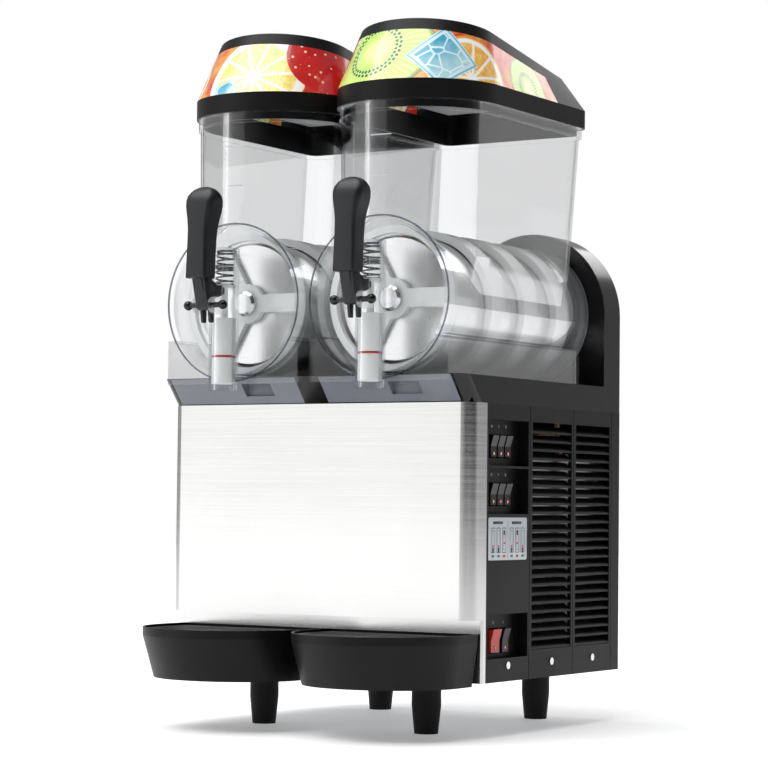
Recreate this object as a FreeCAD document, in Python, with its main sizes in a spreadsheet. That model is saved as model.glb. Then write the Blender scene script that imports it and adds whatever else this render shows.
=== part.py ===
import FreeCAD, Part
import Sketcher
import math
import os
import re

from FreeCAD import Matrix, Placement, Rotation, Vector

# Twin-bowl slushie machine: a free-standing cabinet with two clear bowls, each round a chilled drum.
# Frame: millimetres, +Z up, the front towards -Y, +X towards the machine's control side.
# Origin: centre of the bounding box, at the floor.

SIZE_ROWS = [
    # overall
    ("body_width", 390.0, "cabinet, side to side"),
    ("body_depth", 343.0, "front panel to the back of the towers"),
    ("tray_reach", 120.0, "how far the drip trays stand in front of the front panel"),
    ("foot_height", 59.0, "floor to the underside of the cabinet"),
    ("cabinet_height", 296.0, "underside of the cabinet to the underside of the deck"),
    ("deck_height", 29.0, "moulded deck under the bowls"),
    ("deck_flare", 24.0, "how far the deck's top edge leans out over the front panel"),
    ("deck_wall", 3.0, "moulded deck"),
    ("corner_radius", 15.0, "front corners of the cabinet and deck"),
    ("sheet_wall", 1.2, "stainless sheet"),
    ("panel_wall", 2.5, "moulded side and rear panels"),
    ("fit_gap", 0.3, "clearance between pieces that come apart"),
    ("shaft_gap", 0.05, "running clearance of shafts and pins"),
    # feet
    ("foot_radius", 16.0, "foot at the cabinet"),
    ("foot_tip_radius", 13.0, "foot at the floor"),
    ("foot_taper", 30.0, "height of the tapered part"),
    ("foot_side_inset", 89.0, "cabinet side to the foot's centre"),
    ("foot_front_inset", 60.0, "front panel to the front feet"),
    ("foot_rear_inset", 35.0, "back of the cabinet to the rear feet"),
    # cabinet skins
    ("front_return", 31.0, "how far the front panel wraps round the sides"),
    ("apron_height", 66.7, "recessed panel behind the drip trays"),
    ("apron_setback", 24.0, "front panel to the apron"),
    ("rear_return", 20.0, "how far the rear panel wraps round the sides"),
    ("pan_height", 18.0, "upstand of the base pan"),
    ("pan_wall", 2.0, "base pan sheet"),
    ("control_depth", 95.0, "control panel, front to back"),
    ("middle_depth", 101.0, "middle louvre panel, front to back"),
    ("seam", 1.0, "gap between side panels"),
    ("panel_top_band", 17.0, "plain band over the louvres"),
    ("panel_bottom_band", 31.0, "plain band under the louvres"),
    ("panel_side_band", 4.0, "plain edge beside the louvres"),
    ("slat_pitch", 9.8, "louvre slat to slat"),
    ("slat_depth", 9.0, "louvre slat, outside to inside"),
    ("slat_thick", 2.0, "louvre slat"),
    ("slat_inset", 0.5, "slat's edge inside the panel's face, and its root in the panel"),
    ("slat_drop", 6.5, "fall of a slat from inside to outside"),
    ("screw_radius", 2.0, "panel screw shank"),
    ("screw_head_radius", 4.0, "panel screw head"),
    ("screw_height", 17.0, "screw above the underside of the cabinet"),
    # controls
    ("well_depth", 13.0, "recess that holds a row of rockers"),
    ("well_height", 49.0, "upper rocker recess, bottom to top"),
    ("well_bridge", 2.5, "bar between the two upper recesses"),
    ("lower_well_height", 47.0, "recess of the power rockers"),
    ("rocker_pitch", 15.6, "mode rocker to mode rocker"),
    ("rocker_width", 12.5, "mode rocker, along the cabinet"),
    ("rocker_half_height", 11.5, "mode rocker, pivot to end"),
    ("power_width", 18.0, "power rocker"),
    ("light_width", 13.0, "rocker beside the power rocker"),
    ("power_half_height", 12.5, "power rocker, pivot to end"),
    ("rocker_tilt", 8.0, "rocker at rest, degrees from level"),
    ("rocker_pocket", 9.0, "depth of a rocker's pocket under the recess floor"),
    # drums and drive
    ("bowl_pitch", 189.0, "centre to centre of the bowls"),
    ("chamber_clear", 0.4, "deck's top to the underside of the chamber"),
    ("drum_radius", 69.0, "chilled drum"),
    ("drum_wall", 1.5, "stainless drum"),
    ("drum_setback", 6.0, "front panel to the front of the drum"),
    ("tower_depth", 40.0, "rear tower, front to back"),
    ("tower_wall", 3.0, "moulded tower"),
    ("gasket_depth", 15.0, "gasket round the rear of the drum"),
    ("shaft_radius", 8.0, "auger drive shaft"),
    ("shaft_nose", 15.0, "shaft and cap in front of the drum"),
    ("cap_radius", 14.0, "retaining cap on the shaft"),
    ("cap_height", 7.0, "retaining cap on the shaft"),
    ("auger_radius", 78.5, "outside of the auger's blade"),
    ("auger_gap", 1.5, "blade to drum"),
    ("auger_pitch", 74.0, "blade lead"),
    ("auger_turns", 3.3, "turns of the blade"),
    ("blade_thick", 30.0, "auger blade"),
    ("nose_thick", 7.0, "auger's front spider"),
    ("hub_radius", 22.0, "auger's front hub"),
    ("arm_width", 20.0, "auger's front arms"),
    ("gearbox_radius", 46.0, "gearbox in the tower"),
    ("gearbox_depth", 26.0, "gearbox in the tower"),
    ("gearmotor_radius", 15.0, "motor under the gearbox"),
    ("gearmotor_length", 70.0, "motor under the gearbox"),
    # bowls
    ("bowl_wall", 2.5, "clear moulded wall"),
    ("chamber_radius", 80.0, "inside of the freezing chamber"),
    ("plate_radius", 87.5, "round front plate"),
    ("plate_thick", 3.5, "round front plate"),
    ("plate_reach", 29.0, "front plate in front of the front panel"),
    ("skirt_half", 87.0, "half width of the skirt under the chamber"),
    ("skirt_height", 42.0, "deck to the skirt's ledge"),
    ("skirt_lap", 7.0, "how far the skirt laps over the deck's front"),
    ("hopper_flare_height", 45.0, "rise over which the hopper widens from the chamber"),
    ("hopper_overlap", 1.0, "how far the hopper's foot stands inside the chamber's wall"),
    ("hopper_low_half", 88.0, "hopper half width above the chamber"),
    ("hopper_top_half", 91.5, "hopper half width at its rim"),
    ("hopper_height", 210.4, "drum axis to the hopper's rim"),
    ("hopper_low_rear", 248.0, "front panel to the hopper's back wall, low down"),
    ("hopper_top_rear", 266.0, "front panel to the hopper's back wall, at the rim"),
    ("hopper_rear_radius", 14.0, "rear corners of the hopper"),
    ("rim_height", 12.0, "stiffening band round the rim"),
    ("rim_lip", 2.2, "how far the band stands out"),
    # taps
    ("tap_reach", 44.0, "tap axis in front of the front panel"),
    ("tap_radius", 16.0, "outside of the tap's tube"),
    ("tap_bore", 13.5, "inside of the tap's tube"),
    ("tap_drop", 15.0, "spout's end below the deck's top"),
    ("tap_rise", 140.5, "tube's top above the deck's top"),
    ("tap_cap", 2.5, "closed top of the tube"),
    ("port_radius", 6.0, "port from the chamber into the tube"),
    ("pin_reach", 79.0, "lever pin in front of the front panel"),
    ("pin_rise", 76.0, "lever pin above the deck's top"),
    ("pin_radius", 3.0, "lever pin"),
    ("pin_half", 28.0, "lever pin, centre to end"),
    ("pin_ball", 5.2, "ball end of the pin"),
    ("ear_gap", 9.0, "tap axis to the inside of an ear"),
    ("ear_thick", 3.0, "bracket ear"),
    ("slot_half", 6.5, "half width of the slot in the tube"),
    ("slot_low", 76.0, "slot's bottom above the deck's top"),
    ("slot_high", 122.0, "slot's top above the deck's top"),
    ("piston_low", 8.0, "piston's bottom below the deck's top"),
    ("piston_body", 72.0, "length of the piston's body"),
    ("piston_gap", 0.5, "piston to tube"),
    ("stem_radius", 4.0, "piston's stem"),
    ("head_rise", 97.0, "underside of the piston's head above the deck's top"),
    ("head_thick", 3.5, "piston's head"),
    ("seal_rise", 22.0, "O-ring above the deck's top"),
    ("seal_section", 1.1, "O-ring section radius"),
    ("spring_wire", 0.8, "spring wire radius"),
    ("spring_radius", 9.5, "spring, axis to wire centre"),
    ("spring_turns", 7.0, "turns of the spring"),
    # levers
    ("grip_half", 13.0, "half width of the grip"),
    ("grip_head_half", 19.0, "half width of the grip's head"),
    ("grip_base", 104.0, "grip's lower end above the deck's top"),
    ("grip_top", 204.0, "grip's top above the deck's top"),
    ("grip_reach", 95.0, "grip's front face in front of the front panel"),
    ("grip_depth", 15.0, "grip, front to back"),
    ("neck_half", 8.0, "half width of the neck"),
    ("hook_half", 5.0, "half width of the hook"),
    # lids
    ("lid_half", 93.9, "half width of the lid's band"),
    ("lid_front", 32.4, "lid's front edge in front of the front panel"),
    ("lid_rear", 275.0, "front panel to the lid's back edge"),
    ("lid_band", 21.0, "upright band round the lid"),
    ("lid_rear_radius", 15.0, "rear corners of the lid"),
    ("roof_half", 78.3, "half width of the roof"),
    ("roof_setback", 5.0, "front panel to the roof's front edge"),
    ("roof_rear", 248.0, "front panel to the roof's back edge"),
    ("roof_height", 92.0, "rim to the roof's front edge"),
    ("roof_fall", 0.161, "fall of the roof towards the back, per millimetre"),
    ("roof_inset", 14.0, "black edge between the graphic panel and the roof"),
    ("lid_wall", 2.5, "lid moulding"),
    ("lid_skirt", 8.0, "skirt inside the hopper's rim"),
    ("window_rear", 197.0, "front panel to the back end of the graphic panel"),
    ("window_slant", 12.0, "lean of the graphic panel's back end"),
    ("lamp_width", 76.0, "lamp housing under the roof"),
    ("lamp_length", 150.0, "lamp housing under the roof"),
    ("lamp_height", 22.0, "lamp housing under the roof"),
    # drip trays
    ("tray_pitch", 195.0, "centre to centre of the drip trays"),
    ("tray_half", 94.6, "half width at the rim"),
    ("tray_low_half", 88.0, "half width at the bottom"),
    ("tray_low_reach", 97.0, "reach of the tray's bottom"),
    ("tray_height", 55.4, "drip tray, bottom to rim"),
    ("tray_low", 3.4, "tray's bottom below the underside of the cabinet"),
    ("tray_wall", 2.5, "tray moulding"),
    ("tray_rim", 9.0, "upright band round the rim"),
    ("tray_straight", 40.0, "straight part of the sides"),
    ("grille_thick", 2.5, "drip grille"),
    ("grille_clear", 2.0, "grille's back edge, in front of the front panel, so that it lifts out"),
    ("grille_drop", 2.5, "grille below the tray's rim"),
    ("grille_pitch", 9.0, "slot to slot"),
    ("grille_slot", 4.0, "slot width"),
    # refrigeration
    ("compressor_radius", 58.0, "compressor shell"),
    ("compressor_height", 150.0, "compressor shell"),
    ("condenser_depth", 34.0, "condenser, side to side"),
    ("condenser_length", 186.0, "condenser, front to back"),
    ("condenser_height", 200.0, "condenser"),
    ("fan_radius", 78.0, "condenser fan"),
    ("fan_hub_radius", 24.0, "condenser fan hub"),
    ("fan_thick", 18.0, "condenser fan"),
    ("fan_motor_radius", 30.0, "fan motor"),
    ("fan_motor_length", 44.0, "fan motor"),
    ("fan_gap", 8.0, "condenser to fan"),
    ("pipe_radius", 4.0, "copper pipe"),
    ("pipe_offset", 30.0, "pipe into the drum, sideways from the drum's axis"),
    ("pipe_drop", 54.0, "pipe into the drum, below the drum's axis"),
    ("inlet_reach", 16.0, "how far the mains inlet stands out behind"),
    ("inlet_radius", 10.0, "gland of the mains inlet"),
]

NAMES = {row[0] for row in SIZE_ROWS}

# Places that several pieces share, as expressions on the sheet's names.
HALF = "(body_width / 2)"
FRONT = "((tray_reach - body_depth - inlet_reach) / 2)"
REAR = "((tray_reach + body_depth - inlet_reach) / 2)"
TOWER_Y = f"({REAR} - tower_depth)"
SIDE_Y = f"({FRONT} + front_return)"
DECK_Z = "(foot_height + cabinet_height)"
TOP_Z = "(foot_height + cabinet_height + deck_height)"
DRUM_Z = f"({TOP_Z} + chamber_clear + bowl_wall + chamber_radius)"
RIM_Z = f"({DRUM_Z} + hopper_height)"
MIDDLE_Y = f"({SIDE_Y} + control_depth + seam)"
AFT_Y = f"({MIDDLE_Y} + middle_depth + seam)"
AFT_LENGTH = f"({REAR} - rear_return - seam - {AFT_Y})"
WELL_TOP = f"({DECK_Z} - panel_top_band)"
SECOND_TOP = f"({WELL_TOP} - well_height - well_bridge)"
LOWER_LOW = "(foot_height + 25)"
TAP_Y = f"({FRONT} - tap_reach)"
PIN_Y = f"({FRONT} - pin_reach)"
PIN_Z = f"({TOP_Z} + pin_rise)"
DRUM_Y = f"({FRONT} + drum_setback)"
CONDENSER_X = f"({HALF} - slat_depth - 6 - condenser_depth)"
FAN_Y = f"({REAR} - 16 - condenser_length / 2)"
FAN_Z = "(foot_height + pan_wall + 22 + condenser_height / 2)"
FAN_X = f"({CONDENSER_X} - fan_gap - fan_thick)"

doc = FreeCAD.newDocument("slushie_machine")
sheet = doc.addObject("Spreadsheet::Sheet", "Sizes")
for row_number, (alias, value, meaning) in enumerate(SIZE_ROWS, start=1):
    sheet.set(f"A{row_number}", alias)
    sheet.set(f"B{row_number}", str(value))
    sheet.setAlias(f"B{row_number}", alias)
    sheet.set(f"C{row_number}", meaning)
doc.recompute()

subparts = []


# ---------------------------------------------------------------- shared ways of making things

def bound(expression):
    """The expression with each of the sheet's names addressed through the sheet."""
    return re.sub(r"[a-z][a-z_]*", lambda word: address(word.group()), str(expression))


def address(word):
    return f"Sizes.{word}" if word in NAMES else word


def number(expression):
    """The present value of an expression on the sheet."""
    return float(sheet.evalExpression(bound(expression)))


def bind(thing, **properties):
    for name, expression in properties.items():
        thing.setExpression(name, bound(expression))


def place(thing, x=0, y=0, z=0, rotation=None):
    if rotation is not None:
        thing.Placement = Placement(Vector(0, 0, 0), rotation)
    for axis, expression in zip("xyz", (x, y, z)):
        thing.setExpression(f"Placement.Base.{axis}", bound(expression))
    return thing


ALONG_X = Rotation(Vector(0, 1, 0), 90)
ALONG_Y = Rotation(Vector(1, 0, 0), -90)
ALONG_Z = Rotation()


def keep(thing, label):
    """Name a finished sub-part: its label is its node and file name."""
    thing.Label = label
    subparts.append(thing)
    return thing


def box(name, low, size):
    """A box from its low corner and its size, each three expressions."""
    thing = doc.addObject("Part::Box", name)
    bind(thing, Length=size[0], Width=size[1], Height=size[2])
    return place(thing, *low)


def cylinder(name, base, radius, length, rotation=ALONG_Z):
    thing = doc.addObject("Part::Cylinder", name)
    bind(thing, Radius=radius, Height=length)
    return place(thing, *base, rotation=rotation)


def cone(name, base, low_radius, high_radius, height):
    thing = doc.addObject("Part::Cone", name)
    bind(thing, Radius1=low_radius, Radius2=high_radius, Height=height)
    return place(thing, *base)


def fuse(name, things):
    thing = doc.addObject("Part::MultiFuse", name)
    thing.Shapes = things
    thing.Refine = True
    return thing


def cut(name, base, tool):
    thing = doc.addObject("Part::Cut", name)
    thing.Base = base
    thing.Tool = tool
    thing.Refine = True
    return thing


def group(name, things):
    thing = doc.addObject("Part::Compound", name)
    thing.Links = things
    return thing


def feature(name, shape):
    """A sub-part whose shape is worked out here from the sheet's sizes."""
    thing = doc.addObject("Part::Feature", name)
    thing.Shape = shape
    return thing


def new_body(name):
    return doc.addObject("PartDesign::Body", name)


def origin_plane(body, role):
    return next(item for item in body.Origin.OriginFeatures if item.Role == role)


def new_sketch(body, name, plane, offset):
    """A sketch on one of the body's own origin planes, moved along the plane's normal."""
    sketch = body.newObject("Sketcher::SketchObject", name)
    sketch.AttachmentSupport = [(origin_plane(body, plane + "_Plane"), "")]
    sketch.MapMode = "FlatFace"
    sketch.setExpression("AttachmentOffset.Base.z", bound(offset))
    return sketch


def pin_point(sketch, geometry, end, x, y):
    """Hold one end of a line at x, y, each an expression."""
    for kind, expression in (("DistanceX", x), ("DistanceY", y)):
        index = sketch.addConstraint(Sketcher.Constraint(kind, geometry, end, number(expression)))
        sketch.setExpression(f"Constraints[{index}]", bound(expression))


def corner_points(points, index):
    """Where the sides meet a corner's arc: the corner itself when it is sharp."""
    x, y = points[index][:2]
    if len(points[index]) < 3:
        return (x, y), (x, y)
    radius = points[index][2]
    trimmed = []
    for other in (points[index - 1], points[(index + 1) % len(points)]):
        step_x = number(other[0]) - number(x)
        step_y = number(other[1]) - number(y)
        if abs(step_x) > abs(step_y):
            trimmed.append((f"({x}) + {math.copysign(1, step_x)} * ({radius})", y))
        else:
            trimmed.append((x, f"({y}) + {math.copysign(1, step_y)} * ({radius})"))
    return tuple(trimmed)


def outline(sketch, points):
    """A closed outline: (x, y) is a sharp corner, (x, y, radius) a right-angled one that is rounded."""
    ends = [corner_points(points, index) for index in range(len(points))]
    sides = []
    for index in range(len(points)):
        start = ends[index][1]
        end = ends[(index + 1) % len(points)][0]
        line = Part.LineSegment(spot(start), spot(end))
        side = sketch.addGeometry(line, False)
        pin_point(sketch, side, 1, *start)
        pin_point(sketch, side, 2, *end)
        sides.append(side)
    for index in range(len(points)):
        if len(points[index]) == 3:
            round_corner(sketch, sides[index - 1], sides[index], points[index], ends[index])


def spot(point):
    return Vector(number(point[0]), number(point[1]), 0)


def round_corner(sketch, before, after, corner, ends):
    first, last = (spot(end) for end in ends)
    vertex = spot(corner)
    radius = number(corner[2])
    centre = first + last - vertex
    middle = centre + (vertex - centre).normalize() * radius
    arc = Part.Arc(first, middle, last)
    index = sketch.addGeometry(arc, False)
    start = sketch.getPoint(index, 1)
    near, far = (1, 2) if start.distanceToPoint(first) < start.distanceToPoint(last) else (2, 1)
    sketch.addConstraint(Sketcher.Constraint("Coincident", index, near, before, 2))
    sketch.addConstraint(Sketcher.Constraint("Coincident", index, far, after, 1))
    held = sketch.addConstraint(Sketcher.Constraint("Radius", index, radius))
    sketch.setExpression(f"Constraints[{held}]", bound(corner[2]))


def circle(sketch, x, y, radius):
    index = sketch.addGeometry(Part.Circle(spot((x, y)), Vector(0, 0, 1), number(radius)), False)
    pin_point(sketch, index, 3, x, y)
    held = sketch.addConstraint(Sketcher.Constraint("Radius", index, number(radius)))
    sketch.setExpression(f"Constraints[{held}]", bound(radius))


def rectangle(x, y, width, height):
    return [(x, y), (f"{x} + {width}", y), (f"{x} + {width}", f"{y} + {height}"), (x, f"{y} + {height}")]


def plane_offset(plane, start, length, towards):
    """Sketch offset for material that fills start to start + length along the plane's axis."""
    if plane == "XZ":
        return f"-(({start}) + ({length}))" if towards == "normal" else f"-({start})"
    return start if towards == "normal" else f"({start}) + ({length})"


def pad(body, name, plane, draw, start, length):
    """Add material between start and start + length along the plane's axis."""
    sketch = new_sketch(body, name + "_outline", plane, plane_offset(plane, start, length, "normal"))
    draw(sketch)
    made = body.newObject("PartDesign::Pad", name)
    made.Profile = sketch
    made.setExpression("Length", bound(length))
    doc.recompute()
    return made


def pocket(body, name, plane, draw, start, length):
    """Take material away between start and start + length along the plane's axis."""
    before = body.Shape.Volume
    sketch = new_sketch(body, name + "_outline", plane, plane_offset(plane, start, length, "against"))
    draw(sketch)
    made = body.newObject("PartDesign::Pocket", name)
    made.Profile = sketch
    made.setExpression("Length", bound(length))
    doc.recompute()
    if body.Shape.Volume >= before:
        raise RuntimeError(f"{name} cuts nothing")
    return made


def repeat(body, name, feature_to_repeat, axis_role, occurrences, spacing):
    """A row of copies along one of the body's own axes."""
    pattern = body.newObject("PartDesign::LinearPattern", name)
    pattern.Originals = [feature_to_repeat]
    pattern.Direction = (origin_plane(body, axis_role), [""])
    bind(pattern, Length=f"({occurrences} - 1) * ({spacing})", Occurrences=occurrences)
    body.Tip = pattern
    doc.recompute()
    return pattern


def turn_copies(body, name, feature_to_repeat, axis_role, occurrences):
    """A ring of copies about one of the body's own axes."""
    pattern = body.newObject("PartDesign::PolarPattern", name)
    pattern.Originals = [feature_to_repeat]
    pattern.Axis = (origin_plane(body, axis_role), [""])
    pattern.Angle = 360
    pattern.Occurrences = occurrences
    body.Tip = pattern
    doc.recompute()
    return pattern


def soften(body, name, radius, chosen):
    """Round the edges of the body's present shape that chosen(edge) picks."""
    names = [f"Edge{index}" for index, edge in enumerate(body.Shape.Edges, start=1) if chosen(edge)]
    base = body.Tip
    rounding = body.newObject("PartDesign::Fillet", name)
    rounding.Base = (base, names)
    rounding.setExpression("Radius", bound(radius))
    body.Tip = rounding
    doc.recompute()
    return rounding


def turned(name, profile, x, y, z, rotation=ALONG_Z):
    """A round piece: a profile of (radius, height) turned about its own Z axis, then placed."""
    body = new_body(name)
    sketch = new_sketch(body, name + "_profile", "XZ", 0)
    outline(sketch, profile)
    spun = body.newObject("PartDesign::Revolution", name + "_turned")
    spun.Profile = sketch
    spun.ReferenceAxis = (sketch, ["V_Axis"])
    spun.Angle = 360
    doc.recompute()
    return place(body, x, y, z, rotation=rotation)


# ---------------------------------------------------------------- D-shaped outlines

def d_wire(half, front, semi, rear, corner, height, fall=0.0):
    """A D in plan: an elliptical front, straight sides and a straight back with round corners.

    height is the level at y = 0 and fall lowers it towards the back.
    """
    middle = front + semi
    ellipse = Part.Ellipse(Vector(0, middle, 0), max(half, semi), min(half, semi))
    if semi > half:
        ellipse.rotate(Placement(Vector(0, middle, 0), Rotation(Vector(0, 0, 1), 90)))
    left = Vector(-half, middle, 0)
    right = Vector(half, middle, 0)
    begin, end = ellipse.parameter(left), ellipse.parameter(right)
    nose = ellipse.toShape(begin, end if end > begin else end + 2 * math.pi)
    bend = corner * (1 - math.sqrt(0.5))
    right_corner = Part.Arc(Vector(half, rear - corner, 0), Vector(half - bend, rear - bend, 0),
                            Vector(half - corner, rear, 0)).toShape()
    left_corner = Part.Arc(Vector(corner - half, rear, 0), Vector(bend - half, rear - bend, 0),
                           Vector(-half, rear - corner, 0)).toShape()
    back = Part.makeLine(Vector(half - corner, rear, 0), Vector(corner - half, rear, 0))
    sides = [Part.makeLine(right, Vector(half, rear - corner, 0)),
             Part.makeLine(Vector(-half, rear - corner, 0), left)]
    flat = Part.Wire([nose, sides[0], right_corner, back, left_corner, sides[1]])
    if not fall:
        return flat.translated(Vector(0, 0, height))
    shear = Matrix()
    shear.A32 = -fall
    return flat.transformGeometry(shear).translated(Vector(0, 0, height))


def loft(wires):
    return Part.makeLoft(wires, True, True)


def block(low, high):
    size = Vector(*high) - Vector(*low)
    return Part.makeBox(size.x, size.y, size.z, Vector(*low))


def side_prism(points, half):
    """A side-view outline of (y, z) points, carried across from -half to half."""
    corners = [Vector(-half, y, z) for y, z in points]
    face = Part.Face(Part.makePolygon(corners + corners[:1]))
    return face.extrude(Vector(2 * half, 0, 0))


# ---------------------------------------------------------------- cabinet

def make_feet():
    feet = []
    rows = (("front", f"{FRONT} + foot_front_inset"), ("rear", f"{REAR} - foot_rear_inset"))
    for row, y in rows:
        for side, sign in (("left", -1), ("right", 1)):
            name = f"{row}_{side}_foot"
            x = f"{sign} * ({HALF} - foot_side_inset)"
            tip = cone(name + "_tip", (x, y, 0), "foot_tip_radius", "foot_radius", "foot_taper")
            stem = cylinder(name + "_stem", (x, y, "foot_taper"), "foot_radius", "foot_height - foot_taper")
            feet.append(fuse(name, [tip, stem]))
    keep(group("foot_set", feet), "feet")


def make_base_pan():
    inside = "panel_wall + fit_gap"
    front = f"({FRONT} + apron_setback + sheet_wall)"
    depth = f"({REAR} - panel_wall - {front})"
    outer = box("pan_outer", (f"-{HALF} + {inside}", front, "foot_height"),
                (f"body_width - 2 * ({inside})", depth, "pan_height"))
    inner = box("pan_inner", (f"-{HALF} + {inside} + pan_wall", f"{front} + pan_wall",
                              "foot_height + pan_wall"),
                (f"body_width - 2 * ({inside} + pan_wall)", f"{depth} - 2 * pan_wall", "pan_height"))
    keep(cut("pan", outer, inner), "base_pan")


def channel(front, back, wall, radius):
    """Plan outline of a sheet that covers the front and wraps round both sides."""
    inner = f"({radius} - {wall})"
    return [(f"-{HALF}", back), (f"-{HALF}", front, radius), (HALF, front, radius), (HALF, back),
            (f"{HALF} - {wall}", back), (f"{HALF} - {wall}", f"{front} + {wall}", inner),
            (f"-{HALF} + {wall}", f"{front} + {wall}", inner), (f"-{HALF} + {wall}", back)]


def make_front_panel():
    body = new_body("front_panel_body")
    low = "foot_height + apron_height"
    pad(body, "front_skin", "XY", lambda sketch: outline(sketch,
                                                         channel(FRONT, SIDE_Y, "sheet_wall",
                                                                 "corner_radius")),
        low, "cabinet_height - apron_height")
    shelf = [(f"-{HALF}", f"{FRONT} + apron_setback"), (f"-{HALF}", FRONT, "corner_radius"),
             (HALF, FRONT, "corner_radius"), (HALF, f"{FRONT} + apron_setback")]
    pad(body, "front_shelf", "XY", lambda sketch: outline(sketch, shelf), low, "sheet_wall")
    keep(body, "front_panel")


def make_apron_panel():
    body = new_body("apron_body")
    front = f"({FRONT} + apron_setback)"
    pad(body, "apron_skin", "XY", lambda sketch: outline(sketch, channel(front, SIDE_Y, "sheet_wall", "3")),
        "foot_height", "apron_height")
    keep(body, "apron_panel")


def make_deck():
    body = new_body("deck_body")
    length = f"({TOWER_Y} - {FRONT})"
    side = [(FRONT, DECK_Z), (f"{FRONT} - deck_flare", TOP_Z), (TOWER_Y, TOP_Z), (TOWER_Y, DECK_Z)]
    pad(body, "deck_block", "YZ", lambda sketch: outline(sketch, side), f"-{HALF}", "body_width")
    nose = number(FRONT) - number("deck_flare")

    def front_corner(edge):
        middle = edge.CenterOfMass
        at_side = abs(abs(middle.x) - number(HALF)) < 0.01
        return at_side and nose < middle.y < number(FRONT) - 1 and edge.BoundBox.ZLength > 5

    soften(body, "deck_corners", "corner_radius", front_corner)
    hollow = rectangle(f"-{HALF} + deck_wall", f"{FRONT} + deck_wall", "body_width - 2 * deck_wall",
                       f"({length} - 2 * deck_wall)")
    pocket(body, "deck_hollow", "XY", lambda sketch: outline(sketch, hollow), DECK_Z,
           "deck_height - deck_wall")
    for side_name, sign in SIDES:
        notch = rectangle(f"{sign} * bowl_pitch / 2 + 6", f"{TOP_Z} - 20", "38", "13")
        pocket(body, side_name + "_finger_notch", "XZ", lambda sketch, notch=notch: outline(sketch, notch),
               f"{FRONT} - deck_flare - 1", "deck_flare - 3")
    keep(body, "deck")


def make_rear_panel():
    body = new_body("rear_panel_body")
    side_y = f"({REAR} - rear_return)"
    plan = [(f"-{HALF}", side_y), (f"-{HALF}", REAR), (HALF, REAR), (HALF, side_y),
            (f"{HALF} - panel_wall", side_y), (f"{HALF} - panel_wall", f"{REAR} - panel_wall"),
            (f"-{HALF} + panel_wall", f"{REAR} - panel_wall"), (f"-{HALF} + panel_wall", side_y)]
    pad(body, "rear_skin", "XY", lambda sketch: outline(sketch, plan), "foot_height", "cabinet_height")
    gland = lambda sketch: circle(sketch, f"-{HALF} + 60", "foot_height + 40", "inlet_radius")
    pocket(body, "gland_hole", "XZ", gland, f"{REAR} - panel_wall - 1", "panel_wall + 2")
    slot = rectangle("-110", "foot_height + 90", "220", "5")
    vent = pocket(body, "vent_slot", "XZ", lambda sketch: outline(sketch, slot),
                  f"{REAR} - panel_wall - 1", "panel_wall + 2")
    repeat(body, "vent_slots", vent, "Z_Axis", "floor((cabinet_height - 130) / 14)", "14")
    keep(body, "rear_panel")


def louvre_panel(name, sign, start, length):
    """One moulded side panel with a window of slanted slats."""
    body = new_body(name + "_body")
    outside = f"{sign} * {HALF}"
    inside = f"{sign} * ({HALF} - panel_wall)"
    low_x = inside if sign > 0 else outside
    window_low = "(foot_height + panel_bottom_band)"
    window_height = "(cabinet_height - panel_top_band - panel_bottom_band)"
    window_start = f"({start} + panel_side_band)"
    window_length = f"({length} - 2 * panel_side_band)"
    plate = rectangle(start, "foot_height", length, "cabinet_height")
    window = rectangle(window_start, window_low, window_length, window_height)
    pad(body, name + "_plate", "YZ", lambda sketch: outline(sketch, plate), low_x, "panel_wall")
    pocket(body, name + "_window", "YZ", lambda sketch: outline(sketch, window), f"{low_x} - 1",
           "panel_wall + 2")
    screw = lambda sketch: circle(sketch, f"{start} + {length} / 2", "foot_height + screw_height",
                                  "screw_radius")
    pocket(body, name + "_screw_hole", "YZ", screw, f"{low_x} - 1", "panel_wall + 2")
    lip = f"{sign} * ({HALF} - slat_inset)"
    deep = f"{sign} * ({HALF} - slat_depth)"
    slat_low = f"({window_low} + slat_inset)"
    slat = [(lip, slat_low), (lip, f"{slat_low} + slat_thick"),
            (deep, f"{slat_low} + slat_thick + slat_drop"), (deep, f"{slat_low} + slat_drop")]
    row = pad(body, name + "_slat", "XZ", lambda sketch: outline(sketch, slat),
              f"{window_start} - slat_inset",
              f"({window_length} + 2 * slat_inset)")
    rail = rectangle(f"{window_start} - slat_inset", f"{window_low} - slat_inset", "2.5",
                     f"({window_height} + slat_inset)")
    count = f"floor(({window_height} - slat_drop - slat_thick - slat_inset) / slat_pitch + 1)"
    repeat(body, name + "_slats", row, "Z_Axis", count, "slat_pitch")
    rail_x = f"{HALF} - slat_depth" if sign > 0 else f"-{HALF} + slat_inset"
    pad(body, name + "_rail", "YZ", lambda sketch: outline(sketch, rail), rail_x, "slat_depth - slat_inset")
    return body


def make_side_panels():
    keep(louvre_panel("right_middle", 1, MIDDLE_Y, "middle_depth"), "right_louvre_middle")
    keep(louvre_panel("right_aft", 1, AFT_Y, AFT_LENGTH), "right_louvre_rear")
    left = [louvre_panel("left_fore", -1, SIDE_Y, "control_depth"),
            louvre_panel("left_middle", -1, MIDDLE_Y, "middle_depth"),
            louvre_panel("left_aft", -1, AFT_Y, AFT_LENGTH)]
    keep(group("left_panel_set", left), "left_louvre_panels")


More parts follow.
